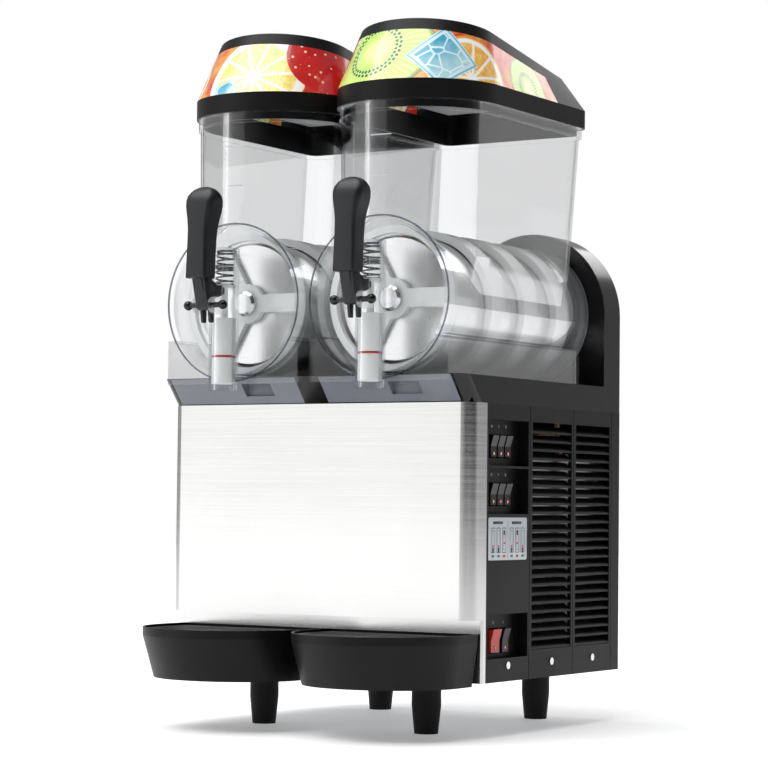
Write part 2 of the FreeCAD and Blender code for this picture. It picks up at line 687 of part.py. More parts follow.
def rocker_places():
    """Each rocker: node name, y of its centre, z of its pivot, width and half height."""
    middle = f"({SIDE_Y} + 48)"
    rows = []
    for bowl, top in (("left", WELL_TOP), ("right", SECOND_TOP)):
        for place_in_row, mode in enumerate(("freeze", "chill", "mix")):
            y = f"({middle} + {place_in_row - 1} * rocker_pitch)"
            rows.append((f"{bowl}_{mode}_rocker", y, f"({top} - well_height + 21)", "rocker_width",
                         "rocker_half_height"))
    z = f"({LOWER_LOW} + 18)"
    rows.append(("power_rocker", f"({middle} - 9)", z, "power_width", "power_half_height"))
    rows.append(("light_rocker", f"({middle} + 13)", z, "light_width", "power_half_height"))
    return rows


def make_control_panel():
    body = new_body("control_body")
    inner = f"({HALF} - panel_wall)"
    back = f"({HALF} - well_depth - rocker_pocket - panel_wall)"
    floor = f"({HALF} - well_depth)"
    plate = rectangle(SIDE_Y, "foot_height", "control_depth", "cabinet_height")
    pad(body, "control_plate", "YZ", lambda sketch: outline(sketch, plate), inner, "panel_wall")
    well_low = f"({SECOND_TOP} - well_height)"
    wells = (("first_well", f"({WELL_TOP} - well_height)", "well_height"),
             ("second_well", well_low, "well_height"),
             ("lower_well", LOWER_LOW, "lower_well_height"))
    blocks = (("upper_block", f"({well_low} - panel_wall)",
               "2 * well_height + well_bridge + 2 * panel_wall"),
              ("lower_block", f"({LOWER_LOW} - panel_wall)", "lower_well_height + 2 * panel_wall"))
    for name, low, height in blocks:
        shape = rectangle(f"{SIDE_Y} + 1", low, "control_depth - 2", height)
        pad(body, name, "YZ", lambda sketch, shape=shape: outline(sketch, shape), back, f"{inner} - {back}")
    for name, low, height in wells:
        shape = rectangle(f"{SIDE_Y} + 3.5", low, "control_depth - 6.5", height)
        pocket(body, name, "YZ", lambda sketch, shape=shape: outline(sketch, shape), floor,
               "well_depth + 1")
    for name, y, z, width, half_height in rocker_places():
        shape = rectangle(f"{y} - {width} / 2 - 0.6", f"{z} - {half_height} - 1.2", f"{width} + 1.2",
                          f"2 * ({half_height} + 1.2)")
        pocket(body, name + "_pocket", "YZ", lambda sketch, shape=shape: outline(sketch, shape),
               f"{floor} - rocker_pocket", "rocker_pocket + 1")
    screw = lambda sketch: circle(sketch, f"{SIDE_Y} + control_depth / 2", "foot_height + screw_height",
                                  "screw_radius")
    pocket(body, "control_screw_hole", "YZ", screw, f"{inner} - 1", "panel_wall + 2")
    keep(body, "control_panel")


def make_rockers():
    """Two-position rockers: the upper end stands out at rest, and the pivot is the local origin."""
    for name, y, z, width, half_height in rocker_places():
        body = new_body(name + "_body")
        lean = f"tan(rocker_tilt) * {half_height}"
        face = [("-3", f"-{half_height} + 0.6"), (f"5.5 - {lean}", f"-{half_height}"), ("3.8", "0"),
                (f"5.5 + {lean}", half_height), ("-1", f"{half_height} - 0.6")]
        pad(body, name + "_cap", "XZ", lambda sketch, face=face: outline(sketch, face), f"-{width} / 2",
            width)
        place(body, f"{HALF} - well_depth - 1", y, z)
        keep(body, name)


def make_panel_screws():
    screws = []
    shank_length = "(panel_wall + fit_gap)"
    middles = (f"{SIDE_Y} + control_depth / 2", f"{MIDDLE_Y} + middle_depth / 2",
               f"{AFT_Y} + {AFT_LENGTH} / 2")
    for side_name, sign in SIDES:
        for position, y in enumerate(middles):
            name = f"{side_name}_screw_{position + 1}"
            head_x = HALF if sign > 0 else f"-{HALF} - 1.5"
            shank_x = f"{HALF} - {shank_length}" if sign > 0 else f"-{HALF}"
            z = "foot_height + screw_height"
            head = cylinder(name + "_head", (head_x, y, z), "screw_head_radius", "1.5", ALONG_X)
            shank = cylinder(name + "_shank", (shank_x, y, z), "screw_radius", shank_length, ALONG_X)
            screws.append(fuse(name, [head, shank]))
    keep(group("screw_set", screws), "panel_screws")


# ---------------------------------------------------------------- refrigeration, inside the cabinet

def make_compressor():
    height = "compressor_height"
    profile = [("0", "0"), ("compressor_radius", "0"), ("compressor_radius", f"{height} * 0.72"),
               ("compressor_radius * 0.8", f"{height} * 0.9"), ("compressor_radius * 0.4", height),
               ("0", height)]
    body = turned("compressor_body", profile, f"-{HALF} + 100", f"{REAR} - 90", "foot_height + pan_wall")
    keep(body, "compressor")


def make_condenser():
    body = new_body("condenser_body")
    low_y = f"({FAN_Y} - condenser_length / 2)"
    low_z = "(foot_height + pan_wall)"
    frame = rectangle(low_y, low_z, "condenser_length", "(condenser_height + 44)")
    pad(body, "condenser_frame", "YZ", lambda sketch: outline(sketch, frame), CONDENSER_X,
        "condenser_depth")
    for side, x in (("inner", CONDENSER_X), ("outer", f"{CONDENSER_X} + condenser_depth - 4")):
        gap = rectangle(f"{low_y} + 6", f"{low_z} + 22", "condenser_length - 12", "1.6")
        row = pocket(body, side + "_fin_gap", "YZ", lambda sketch, gap=gap: outline(sketch, gap), x, "4")
        repeat(body, side + "_fin_gaps", row, "Z_Axis", "floor(condenser_height / 8)", "8")
    keep(body, "condenser")


def make_fan():
    motor_x = f"({FAN_X} - fan_gap - fan_motor_length)"
    motor = cylinder("fan_motor_can", (motor_x, FAN_Y, FAN_Z), "fan_motor_radius", "fan_motor_length",
                     ALONG_X)
    stand = box("fan_stand", (f"{motor_x} + 12", f"{FAN_Y} - 20", "foot_height + pan_wall"),
                ("16", "40", f"{FAN_Z} - foot_height - pan_wall"))
    stub = cylinder("fan_stub", (f"{motor_x} + 20", FAN_Y, FAN_Z), "5", f"{FAN_X} - {motor_x} - 20 + 10",
                    ALONG_X)
    keep(fuse("fan_motor_set", [motor, stand, stub]), "fan_motor")
    body = new_body("fan_body")
    pad(body, "fan_hub", "XY", lambda sketch: circle(sketch, "0", "0", "fan_hub_radius"), "0", "fan_thick")
    blade = [("-4", "fan_hub_radius - 3"), ("6", "fan_hub_radius - 3"), ("30", "fan_radius * 0.9"),
             ("4", "fan_radius"), ("-14", "fan_radius * 0.8")]
    vane = pad(body, "fan_vane", "XY", lambda sketch: outline(sketch, blade), "fan_thick / 2 - 1.2", "2.4")
    turn_copies(body, "fan_vanes", vane, "Z_Axis", 5)
    bore = lambda sketch: circle(sketch, "0", "0", "5 + shaft_gap")
    pocket(body, "fan_bore", "XY", bore, "-1", "11 + shaft_gap")
    place(body, FAN_X, FAN_Y, FAN_Z, rotation=ALONG_X)
    keep(body, "fan_blade")


def make_pipes():
    """Copper pipes of straight runs with round joints, from the compressor to the condenser and drums."""
    stack_x, stack_y = f"(-{HALF} + 100)", f"({REAR} - 90)"
    top = "(foot_height + pan_wall + compressor_height)"
    condenser_top = "(foot_height + pan_wall + condenser_height + 44)"
    condenser_x = f"({CONDENSER_X} + condenser_depth / 2)"
    routes = {"discharge": [(stack_x, stack_y, top), (stack_x, stack_y, f"({condenser_top} + 10)"),
                            (condenser_x, stack_y, f"({condenser_top} + 10)"),
                            (condenser_x, stack_y, condenser_top)]}
    for side_name, sign in SIDES:
        start = (f"({stack_x} + {9 * sign})", f"({stack_y} - 10)")
        high = f"({condenser_top} + {31 - 6 * sign})"
        rise_x, rise_y = f"({sign} * bowl_pitch / 2 + pipe_offset)", f"({TOWER_Y} + tower_depth / 2)"
        entry = f"({DRUM_Z} - pipe_drop)"
        routes[side_name + "_suction"] = [(*start, top), (*start, high), (start[0], rise_y, high),
                                          (rise_x, rise_y, high), (rise_x, rise_y, entry),
                                          (rise_x, f"({TOWER_Y} - 25)", entry)]
    pipes = []
    for points in routes.values():
        pieces = []
        for step, (begin, end) in enumerate(zip(points, points[1:])):
            start, finish = (Vector(*(number(part) for part in point)) for point in (begin, end))
            run = finish - start
            pieces.append(Part.makeCylinder(number("pipe_radius"), run.Length, start, run))
            if step:
                pieces.append(Part.makeSphere(number("pipe_radius"), start))
        pipes.append(pieces[0].fuse(pieces[1:]).removeSplitter())
    keep(feature("pipe_set", Part.makeCompound(pipes)), "refrigerant_pipes")


def make_control_board():
    x = f"({HALF} - well_depth - rocker_pocket - panel_wall - 12)"
    low_y, low_z = f"({SIDE_Y} + 8)", f"({SECOND_TOP} - well_height + 4)"
    board = box("board", (x, low_y, low_z), ("1.6", "78", "92"))
    pieces = [board]
    for row in range(2):
        for column in range(2):
            spot_y, spot_z = f"{low_y} + 6 + {66 * column}", f"{low_z} + 6 + {80 * row}"
            pieces.append(cylinder(f"standoff_{row}{column}", (f"{x} + 1", spot_y, spot_z), "3", "11",
                                   ALONG_X))
    for index in range(3):
        pieces.append(box(f"relay_{index}", (f"{x} - 15", f"{low_y} + {8 + 22 * index}", f"{low_z} + 55"),
                          ("15.5", "16", "20")))
    pieces.append(box("transformer", (f"{x} - 24", f"{low_y} + 14", f"{low_z} + 14"), ("24.5", "40", "30")))
    keep(fuse("board_set", pieces), "control_board")


def make_mains_inlet():
    profile = [("0", "0"), ("inlet_radius + 6", "0"), ("inlet_radius + 6", "4"),
               ("inlet_radius + 3", "inlet_reach - 4"), ("5.5", "inlet_reach"), ("5.5", "inlet_reach - 8"),
               ("0", "inlet_reach - 8")]
    outer = turned("inlet_cap", profile, f"-{HALF} + 60", REAR, "foot_height + 40", ALONG_Y)
    sleeve = cylinder("inlet_sleeve", (f"-{HALF} + 60", f"{REAR} - 14", "foot_height + 40"),
                      "inlet_radius", "14",
                      ALONG_Y)
    keep(fuse("inlet_set", [outer, sleeve]), "mains_inlet")


# ---------------------------------------------------------------- one freezing station

SIDES = (("left", -1), ("right", 1))


def make_evaporator(side_name, x):
    length = f"({TOWER_Y} - {DRUM_Y})"
    bore = "(shaft_radius + shaft_gap)"
    inner = "(drum_radius - drum_wall)"
    profile = [(bore, "0"), ("drum_radius - 3", "0"), ("drum_radius", "3"), ("drum_radius", length),
               (inner, length), (inner, "5"), ("bore_boss", "5"), ("bore_boss", "16"), (bore, "16")]
    profile = [(radius.replace("bore_boss", f"{bore} + 5"), height) for radius, height in profile]
    body = turned(side_name + "_drum", profile, x, DRUM_Y, DRUM_Z, ALONG_Y)
    keep(body, side_name + "_evaporator")


def make_gasket(side_name, x):
    outer = "(chamber_radius - fit_gap)"
    profile = [("drum_radius", "0"), (f"{outer} - 3", "0"), (outer, "4"), (outer, "gasket_depth"),
               ("drum_radius", "gasket_depth")]
    body = turned(side_name + "_seal", profile, x, f"{TOWER_Y} - gasket_depth", DRUM_Z, ALONG_Y)
    keep(body, side_name + "_gasket")


def tower_shape(name, inset, y, depth, low):
    """An arch, round at the top and straight down both sides."""
    radius = f"({HALF} / 2 - fit_gap / 2 - {inset})"
    arch = cylinder(name + "_arch", (0, y, DRUM_Z), radius, depth, ALONG_Y)
    legs = box(name + "_legs", (f"-{radius}", y, low), (f"2 * {radius}", depth, f"{DRUM_Z} - {low}"))
    return fuse(name, [arch, legs])


def make_tower(side_name, sign):
    outer = tower_shape(side_name + "_tower_outer", "0", TOWER_Y, "tower_depth", DECK_Z)
    inner = tower_shape(side_name + "_tower_inner", "tower_wall", f"{TOWER_Y} + tower_wall",
                        "tower_depth - 2 * tower_wall", f"({DECK_Z} - 1)")
    shift = f"({sign} * (bowl_pitch / 2 - {HALF} / 2))"
    hole = cylinder(side_name + "_tower_hole", (shift, f"{TOWER_Y} - 1", DRUM_Z), "shaft_radius + 4",
                    "tower_wall + 2", ALONG_Y)
    pipe_hole = cylinder(side_name + "_pipe_hole",
                         (f"{shift} + pipe_offset", f"{TOWER_Y} - 1", f"{DRUM_Z} - pipe_drop"),
                         "pipe_radius + 1", "tower_wall + 2", ALONG_Y)
    shell = cut(side_name + "_tower_shell", outer,
                fuse(side_name + "_tower_space", [inner, hole, pipe_hole]))
    place(shell, f"{sign} * {HALF} / 2", 0, 0)
    keep(shell, side_name + "_rear_tower")


def make_gearmotor(side_name, x):
    y = f"({TOWER_Y} + tower_wall)"
    gearbox = cylinder(side_name + "_gearbox", (0, y, DRUM_Z), "gearbox_radius", "gearbox_depth", ALONG_Y)
    motor = cylinder(side_name + "_motor_can",
                     (0, f"{y} + gearmotor_radius + 1",
                      f"{DRUM_Z} - gearbox_radius + 4 - gearmotor_length"),
                     "gearmotor_radius", "gearmotor_length", ALONG_Z)
    bore = cylinder(side_name + "_gearbox_bore", (0, f"{y} - 1", DRUM_Z), "shaft_radius + shaft_gap",
                    "gearbox_depth + 2", ALONG_Y)
    drive = cut(side_name + "_drive", fuse(side_name + "_motor_set", [gearbox, motor]), bore)
    keep(place(drive, x, 0, 0), side_name + "_gearmotor")


def make_shaft(side_name, x):
    nose = "(shaft_nose - cap_height)"
    length = f"(shaft_nose + {TOWER_Y} + tower_wall + gearbox_depth - {DRUM_Y})"
    profile = [("0", "0"), ("cap_radius - 3", "0"), ("cap_radius", "3"), ("cap_radius", "cap_height"),
               ("shaft_radius", "cap_height"), ("shaft_radius", length), ("0", length)]
    body = turned(side_name + "_shaft", profile, x, f"{DRUM_Y} - {nose} - cap_height", DRUM_Z, ALONG_Y)
    keep(body, side_name + "_drive_shaft")


def make_auger(side_name, x):
    """A helical blade round the drum, carried by a three-armed spider on the shaft's nose."""
    body = new_body(side_name + "_auger_body")
    inner = "(drum_radius + auger_gap)"
    low = "-(nose_thick + 0.6)"
    ring = lambda sketch: (circle(sketch, "0", "0", "auger_radius"), circle(sketch, "0", "0", inner))
    pad(body, side_name + "_ring", "XY", ring, low, "nose_thick")
    pad(body, side_name + "_hub", "XY", lambda sketch: circle(sketch, "0", "0", "hub_radius"), low,
        "nose_thick")
    arm = rectangle("hub_radius - 4", "-arm_width / 2", f"({inner} + 3 - hub_radius + 4)", "arm_width")
    spoke = pad(body, side_name + "_arm", "XY", lambda sketch: outline(sketch, arm), low, "nose_thick")
    turn_copies(body, side_name + "_arms", spoke, "Z_Axis", 3)
    pocket(body, side_name + "_hub_bore", "XY", lambda sketch: circle(sketch, "0", "0", "shaft_radius"),
           f"{low} - 1", "nose_thick + 2")
    sketch = new_sketch(body, side_name + "_blade_section", "XZ", "0")
    outline(sketch, rectangle(inner, "-3", f"auger_radius - {inner}", "blade_thick"))
    blade = body.newObject("PartDesign::AdditiveHelix", side_name + "_blade")
    blade.Profile = sketch
    blade.ReferenceAxis = (sketch, ["V_Axis"])
    blade.Mode = "pitch-turns-angle"
    bind(blade, Pitch="auger_pitch", Turns="auger_turns")
    doc.recompute()
    place(body, x, DRUM_Y, DRUM_Z, rotation=ALONG_Y)
    keep(body, side_name + "_auger")


def hopper_wires(inset, top_up):
    """The hopper's plan at its foot, above the chamber and at its rim, moved in by inset."""
    front = number(FRONT) - number("plate_reach") + 2 + inset
    foot = number("chamber_radius") + number("bowl_wall") - inset - number("hopper_overlap")
    low = number("hopper_low_half") - inset
    high = number("hopper_top_half") - inset
    low_rear = number(FRONT) + number("hopper_low_rear") - inset
    high_rear = number(FRONT) + number("hopper_top_rear") - inset
    corner = number("hopper_rear_radius") - inset
    axis = number(DRUM_Z)
    flare = axis + number("hopper_flare_height")
    return [d_wire(foot, front, foot, low_rear, corner, axis),
            d_wire(low, front, low, low_rear, corner, flare),
            d_wire(high, front - 1, high, high_rear, corner, number(RIM_Z) + top_up)]


def make_bowl(side_name, x):
    """Chamber, hopper, front plate, skirt and tap tube in one clear moulding."""
    wall = number("bowl_wall")
    axis = number(DRUM_Z)
    top = number(TOP_Z)
    face = number(FRONT) - number("plate_reach")
    rear = number(TOWER_Y) - 3
    chamber = number("chamber_radius")
    along = Vector(0, 1, 0)
    up = Vector(0, 0, 1)
    plate = number("plate_thick")
    half = number("skirt_half")
    skirt_low = top + number("fit_gap")
    skirt_high = top + number("skirt_height")
    skirt_rear = number(FRONT) + number("hopper_top_rear")
    rim_front = face + 1 - number("rim_lip")
    rim_half = number("hopper_top_half") + number("rim_lip")
    rim_rear = number(FRONT) + number("hopper_top_rear") + number("rim_lip")
    rim_low = number(RIM_Z) - number("rim_height")
    tap_y = number(TAP_Y)
    tube = number("tap_radius")
    bore = number("tap_bore")
    tap_low = top - number("tap_drop")
    tap_high = top + number("tap_rise")
    rim_corner = number("hopper_rear_radius") + number("rim_lip")
    rim = loft([d_wire(rim_half, rim_front, rim_half, rim_rear, rim_corner, rim_low),
                d_wire(rim_half, rim_front, rim_half, rim_rear, rim_corner, number(RIM_Z))])
    skin = Part.makeCylinder(chamber + wall, rear - face, Vector(0, face, axis), along)
    under = Part.makeCylinder(chamber + wall - 0.5, rear - face + 2, Vector(0, face - 1, axis), along)
    skirt = block((-half, face + 1, skirt_low), (half, skirt_rear, skirt_high))
    apron = block((-half, face + 1, top - number("skirt_lap")), (half, face + 1 + wall, skirt_high))
    inside = block((wall - half, face + 1 + wall, skirt_low - 1),
                   (half - wall, skirt_rear - wall, skirt_high - wall))
    solids = [loft(hopper_wires(0, 0)), rim, apron,
              Part.makeCylinder(number("plate_radius"), plate, Vector(0, face, axis), along),
              Part.makeCylinder(tube, tap_high - tap_low, Vector(0, tap_y, tap_low), up),
              block((-7, tap_y, tap_low + 14), (7, face + 1, tap_high - 12))]
    pin_y, pin_z = number(PIN_Y), number(PIN_Z)
    gap, ear = number("ear_gap"), number("ear_thick")
    for sign in (-1, 1):
        low = gap if sign > 0 else -gap - ear
        solids.append(block((low, pin_y, pin_z - 9), (low + ear, tap_y, pin_z + 9)))
        solids.append(Part.makeCylinder(9, ear, Vector(low, pin_y, pin_z), Vector(1, 0, 0)))
    outer = skin.fuse(solids + [skirt.cut(inside).cut(under)])
    port_z = axis - chamber + number("port_radius") + 2
    hollows = [Part.makeCylinder(chamber, rear - face, Vector(0, face + plate, axis), along),
               loft(hopper_wires(wall, 1)),
               Part.makeCylinder(bore, tap_high - tap_low - number("tap_cap") + 1,
                                 Vector(0, tap_y, tap_low - 1), up),
               Part.makeCylinder(number("port_radius"), 30, Vector(0, tap_y, port_z), along),
               block((-number("slot_half"), tap_y - tube - 1, top + number("slot_low")),
                     (number("slot_half"), tap_y, top + number("slot_high"))),
               Part.makeCylinder(number("pin_radius"), 80, Vector(-40, pin_y, pin_z), Vector(1, 0, 0))]
    shape = outer
    for hollow in hollows:
        shape = shape.cut(hollow)
    keep(place(feature(side_name + "_bowl_moulding", shape), x, 0, 0), side_name + "_bowl")


def lid_wires(inset):
    """The lid's plan at its lower edge, over its band and at its roof, moved in by inset."""
    front = number(FRONT) - number("lid_front") + inset
    half = number("lid_half") - inset
    rear = number(FRONT) + number("lid_rear") - inset
    corner = number("lid_rear_radius") - inset
    roof_front = number(FRONT) + number("roof_setback") + inset
    roof_half = number("roof_half") - inset
    roof_rear = number(FRONT) + number("roof_rear") - inset
    fall = number("roof_fall")
    level = number(RIM_Z) + number("roof_height") - inset
    roof_semi = roof_half * 0.86
    low = number(RIM_Z) + number("fit_gap")
    high = number(RIM_Z) + number("lid_band")
    at_origin = level + fall * (number(FRONT) + number("roof_setback"))
    return [d_wire(half, front, half - 4, rear, corner, low),
            d_wire(half, front, half - 4, rear, corner, high),
            d_wire(roof_half, roof_front, roof_semi, roof_rear, corner, at_origin, fall)]


def lid_window():
    """Side outline of the graphic panel: level below, under the roof's edge above, slanted behind."""
    low = number(RIM_Z) + number("lid_band")
    front = number(FRONT) - number("lid_front") - 10
    rear = number(FRONT) + number("window_rear")
    fall = number("roof_fall")
    edge = number(RIM_Z) + number("roof_height") - number("roof_inset")
    at_origin = edge + fall * (number(FRONT) + number("roof_setback"))
    slant = number("window_slant")
    points = [(front, low), (rear, low), (rear - slant, at_origin - fall * (rear - slant)),
              (front, at_origin - fall * front)]
    return side_prism(points, number("lid_half") + 10)


def make_lid(side_name, x):
    wall = number("lid_wall")
    lower, upper, roof = lid_wires(0)
    outer = loft([lower, upper]).fuse(loft([upper, roof]))
    inner_low, inner_high, inner_roof = lid_wires(wall)
    inner = loft([inner_low, inner_high]).fuse(loft([inner_high, inner_roof]))
    inner = inner.fuse(loft([inner_low.translated(Vector(0, 0, -1)), inner_low]))
    skin = outer.cut(inner)
    window = lid_window()
    hopper_inside = hopper_wires(number("bowl_wall") + 1.0, 0)[2]
    hopper_deeper = hopper_wires(number("bowl_wall") + 1.0 + wall, 0)[2]
    drop = number("lid_skirt")
    skirt = loft([hopper_inside.translated(Vector(0, 0, -drop)), hopper_inside.translated(Vector(0, 0, 4))])
    space = loft([hopper_deeper.translated(Vector(0, 0, -drop - 1)),
                  hopper_deeper.translated(Vector(0, 0, 5))])
    ledge_outer = loft([inner_low, inner_low.translated(Vector(0, 0, wall))])
    ledge_space = loft([hopper_deeper.translated(Vector(0, 0, -1)),
                        hopper_deeper.translated(Vector(0, 0, 8))])
    shell = skin.cut(window).fuse([skirt.cut(space), ledge_outer.cut(ledge_space)]).removeSplitter()
    keep(place(feature(side_name + "_lid_moulding", shell), x, 0, 0), side_name + "_lid_shell")
    panel = skin.common(window).removeSplitter()
    keep(place(feature(side_name + "_lid_graphic", panel), x, 0, 0), side_name + "_lid_panel")


def make_lid_lamp(side_name, x):
    """A lamp housing that hangs from the roof on two posts."""
    width, length = "lamp_width", "lamp_length"
    low_y, low_z = f"({FRONT} + 30)", f"({RIM_Z} + 14)"
    housing = box(side_name + "_lamp_box", (f"-{width} / 2", low_y, low_z), (width, length, "lamp_height"))
    posts = []
    for index, share in enumerate((0.25, 0.75)):
        post_y = f"({low_y} + {share} * {length})"
        roof = f"({RIM_Z} + roof_height - lid_wall - roof_fall * ({post_y} + 10 - {FRONT} - roof_setback))"
        posts.append(box(f"{side_name}_lamp_post_{index}",
                         ("-8", f"{post_y} - 5", f"{low_z} + lamp_height - 1"),
                         ("16", "10", f"{roof} - {low_z} - lamp_height - 3")))
    keep(place(fuse(side_name + "_lamp_set", [housing] + posts), x, 0, 0), side_name + "_lid_lamp")


def make_piston(side_name, x):
    radius = "(tap_bore - piston_gap)"
    low = f"({TOP_Z} - piston_low)"
    groove = "(tap_bore - 0.1 - 2 * seal_section)"
    seal = "(piston_low + seal_rise)"
    head = "(piston_low + head_rise)"
    profile = [("0", "0"), (f"{radius} - 1.5", "0"), (radius, "1.5"), (radius, f"{seal} - 1.3"),
               (groove, f"{seal} - 1.3"), (groove, f"{seal} + 1.3"), (radius, f"{seal} + 1.3"),
               (radius, "piston_body"), ("stem_radius", "piston_body"), ("stem_radius", head),
               (f"{radius} - 1", head), (f"{radius} - 1", f"{head} + head_thick"),
               ("0", f"{head} + head_thick")]
    keep(turned(side_name + "_valve", profile, x, TAP_Y, low), side_name + "_piston")


def make_o_ring(side_name, x):
    ring = doc.addObject("Part::Torus", side_name + "_seal_ring")
    bind(ring, Radius1="tap_bore - 0.1 - seal_section", Radius2="seal_section")
    keep(place(ring, x, TAP_Y, f"{TOP_Z} + seal_rise"), side_name + "_o_ring")


def make_spring(side_name, x):
    body = new_body(side_name + "_coil")
    sketch = new_sketch(body, side_name + "_wire_section", "XZ", "0")
    circle(sketch, "spring_radius", "0", "spring_wire")
    low = f"({TOP_Z} + head_rise + head_thick + spring_wire)"
    height = f"({TOP_Z} + tap_rise - tap_cap - spring_wire - {low})"
    coil = body.newObject("PartDesign::AdditiveHelix", side_name + "_coil_sweep")
    coil.Profile = sketch
    coil.ReferenceAxis = (sketch, ["V_Axis"])
    coil.Mode = "height-turns-angle"
    bind(coil, Height=height, Turns="spring_turns")
    doc.recompute()
    keep(place(body, x, TAP_Y, low), side_name + "_spring")


def make_lever(side_name, x):
    """Grip, neck, fork and the hook that lifts the piston; the pin passes through the neck."""
    body = new_body(side_name + "_lever_body")
    face = f"({FRONT} - grip_reach)"
    base, top = f"({TOP_Z} + grip_base)", f"({TOP_Z} + grip_top)"
    back = f"({face} + grip_depth)"
    grip = [(face, base), (f"{face} - 2", f"{top} - 26"), (f"{face} + 1", f"{top} - 8"),
            (f"{face} + 8", top),
            (f"{face} + 20", f"{top} - 8"), (f"{face} + 24", f"{top} - 22"), (f"{back} + 2", f"{top} - 42"),
            (back, f"{base} + 5"), (f"{back} - 2", base)]
    head = [(f"{face} - 2", f"{top} - 26"), (f"{face} + 1", f"{top} - 8"), (f"{face} + 8", top),
            (f"{face} + 20", f"{top} - 8"), (f"{face} + 24", f"{top} - 22"), (f"{back} + 2", f"{top} - 42"),
            (f"{face} - 1", f"{top} - 42")]
    neck = [(f"{face} + 3", f"{base} + 6"), (f"{back} - 2", f"{base} + 6"),
            (f"{PIN_Y} + 8", f"{PIN_Z} + 8"),
            (f"{PIN_Y} + 7", f"{PIN_Z} - 6"), (f"{PIN_Y} - 5", f"{PIN_Z} - 6"),
            (f"{PIN_Y} - 9", f"{PIN_Z} + 6")]
    hook = [(f"{PIN_Y} - 2", f"{PIN_Z} + 4"), (f"{TAP_Y} - stem_radius - 2", f"{PIN_Z} + 13"),
            (f"{TAP_Y} - stem_radius - 2", f"{TOP_Z} + head_rise - 1.5"),
            (f"{PIN_Y} + 14", f"{PIN_Z} + 23"),
            (f"{PIN_Y} - 2", f"{PIN_Z} + 20")]
    prong = [(f"{PIN_Y} - 1", f"{PIN_Z} - 2"), (f"{PIN_Y} + 7", f"{PIN_Z} - 2"),
             (f"{PIN_Y} + 7", f"{PIN_Z} - 19"),
             (f"{PIN_Y} + 1", f"{PIN_Z} - 19")]
    pieces = (("grip", grip, "-grip_half", "2 * grip_half"),
              ("head", head, "-grip_head_half", "2 * grip_head_half"),
              ("neck", neck, "-neck_half", "2 * neck_half"), ("hook", hook, "-hook_half", "2 * hook_half"),
              ("left_prong", prong, "-7", "4"), ("right_prong", prong, "3", "4"))
    for name, shape, start, width in pieces:
        pad(body, f"{side_name}_{name}", "YZ", lambda sketch, shape=shape: outline(sketch, shape), start,
            width)
    bore = lambda sketch: circle(sketch, PIN_Y, PIN_Z, "pin_radius + shaft_gap")
    pocket(body, side_name + "_pin_bore", "YZ", bore, "-grip_head_half", "2 * grip_head_half")
    keep(place(body, x, 0, 0), side_name + "_lever")


def make_lever_pin(side_name, x):
    rod = cylinder(side_name + "_rod", ("-pin_half + pin_ball", PIN_Y, PIN_Z), "pin_radius",
                   "2 * (pin_half - pin_ball)", ALONG_X)
    balls = []
    for end, sign in SIDES:
        ball = doc.addObject("Part::Sphere", f"{side_name}_{end}_ball")
        bind(ball, Radius="pin_ball")
        balls.append(place(ball, f"{sign} * (pin_half - pin_ball)", PIN_Y, PIN_Z))
    keep(place(fuse(side_name + "_pin_set", [rod] + balls), x, 0, 0), side_name + "_lever_pin")


def tray_wires(inset, low, high):
    """The tray's plan at its bottom, at the foot of its rim band and at its rim."""
    rear = number(FRONT) + number("apron_setback") - number("fit_gap") - inset
    straight = number("tray_straight")
    reach = number(FRONT) - number("tray_reach") + inset
    low_reach = number(FRONT) - number("tray_low_reach") + inset
    half = number("tray_half") - inset
    low_half = number("tray_low_half") - inset
    semi = rear + inset - straight - (number(FRONT) - number("tray_reach"))
    low_semi = rear + inset - straight - (number(FRONT) - number("tray_low_reach"))
    band = high - number("tray_rim")
    return [d_wire(low_half, low_reach, low_semi - inset, rear, 6, low),
            d_wire(half, reach, semi - inset, rear, 6, band),
            d_wire(half, reach, semi - inset, rear, 6, high)]


def make_tray(side_name, x):
    wall = number("tray_wall")
    low = number("foot_height - tray_low")
    high = low + number("tray_height")
    outer = loft(tray_wires(0, low, high))
    inner = loft(tray_wires(wall, low + wall, high) + [tray_wires(wall, 0, high + 1)[2]])
    seat = number("grille_thick") + number("grille_drop")
    shelf_wires = [wire.translated(Vector(0, 0, high - seat)) for wire in
                   (tray_wires(wall / 2, 0, 0)[2], tray_wires(wall + 3, 0, 0)[2])]
    shelf = loft([shelf_wires[0].translated(Vector(0, 0, -2)), shelf_wires[0]])
    shelf = shelf.cut(loft([shelf_wires[1].translated(Vector(0, 0, -3)),
                            shelf_wires[1].translated(Vector(0, 0, 1))]))
    ledge_front = number(FRONT) - number("grille_clear") + number("fit_gap")
    ledge = block((-number("tray_half"), ledge_front, high - seat - 2),
                  (number("tray_half"), number(FRONT) + number("apron_setback"),
                   high - number("grille_drop")))
    edge_plan = tray_wires(wall / 2, 0, 0)[2]
    ledge = ledge.common(loft([edge_plan.translated(Vector(0, 0, level)) for level in (low, high)]))
    shape = outer.cut(inner).fuse([shelf, ledge]).removeSplitter()
    keep(place(feature(side_name + "_tray", shape), x, 0, 0), side_name + "_drip_tray")


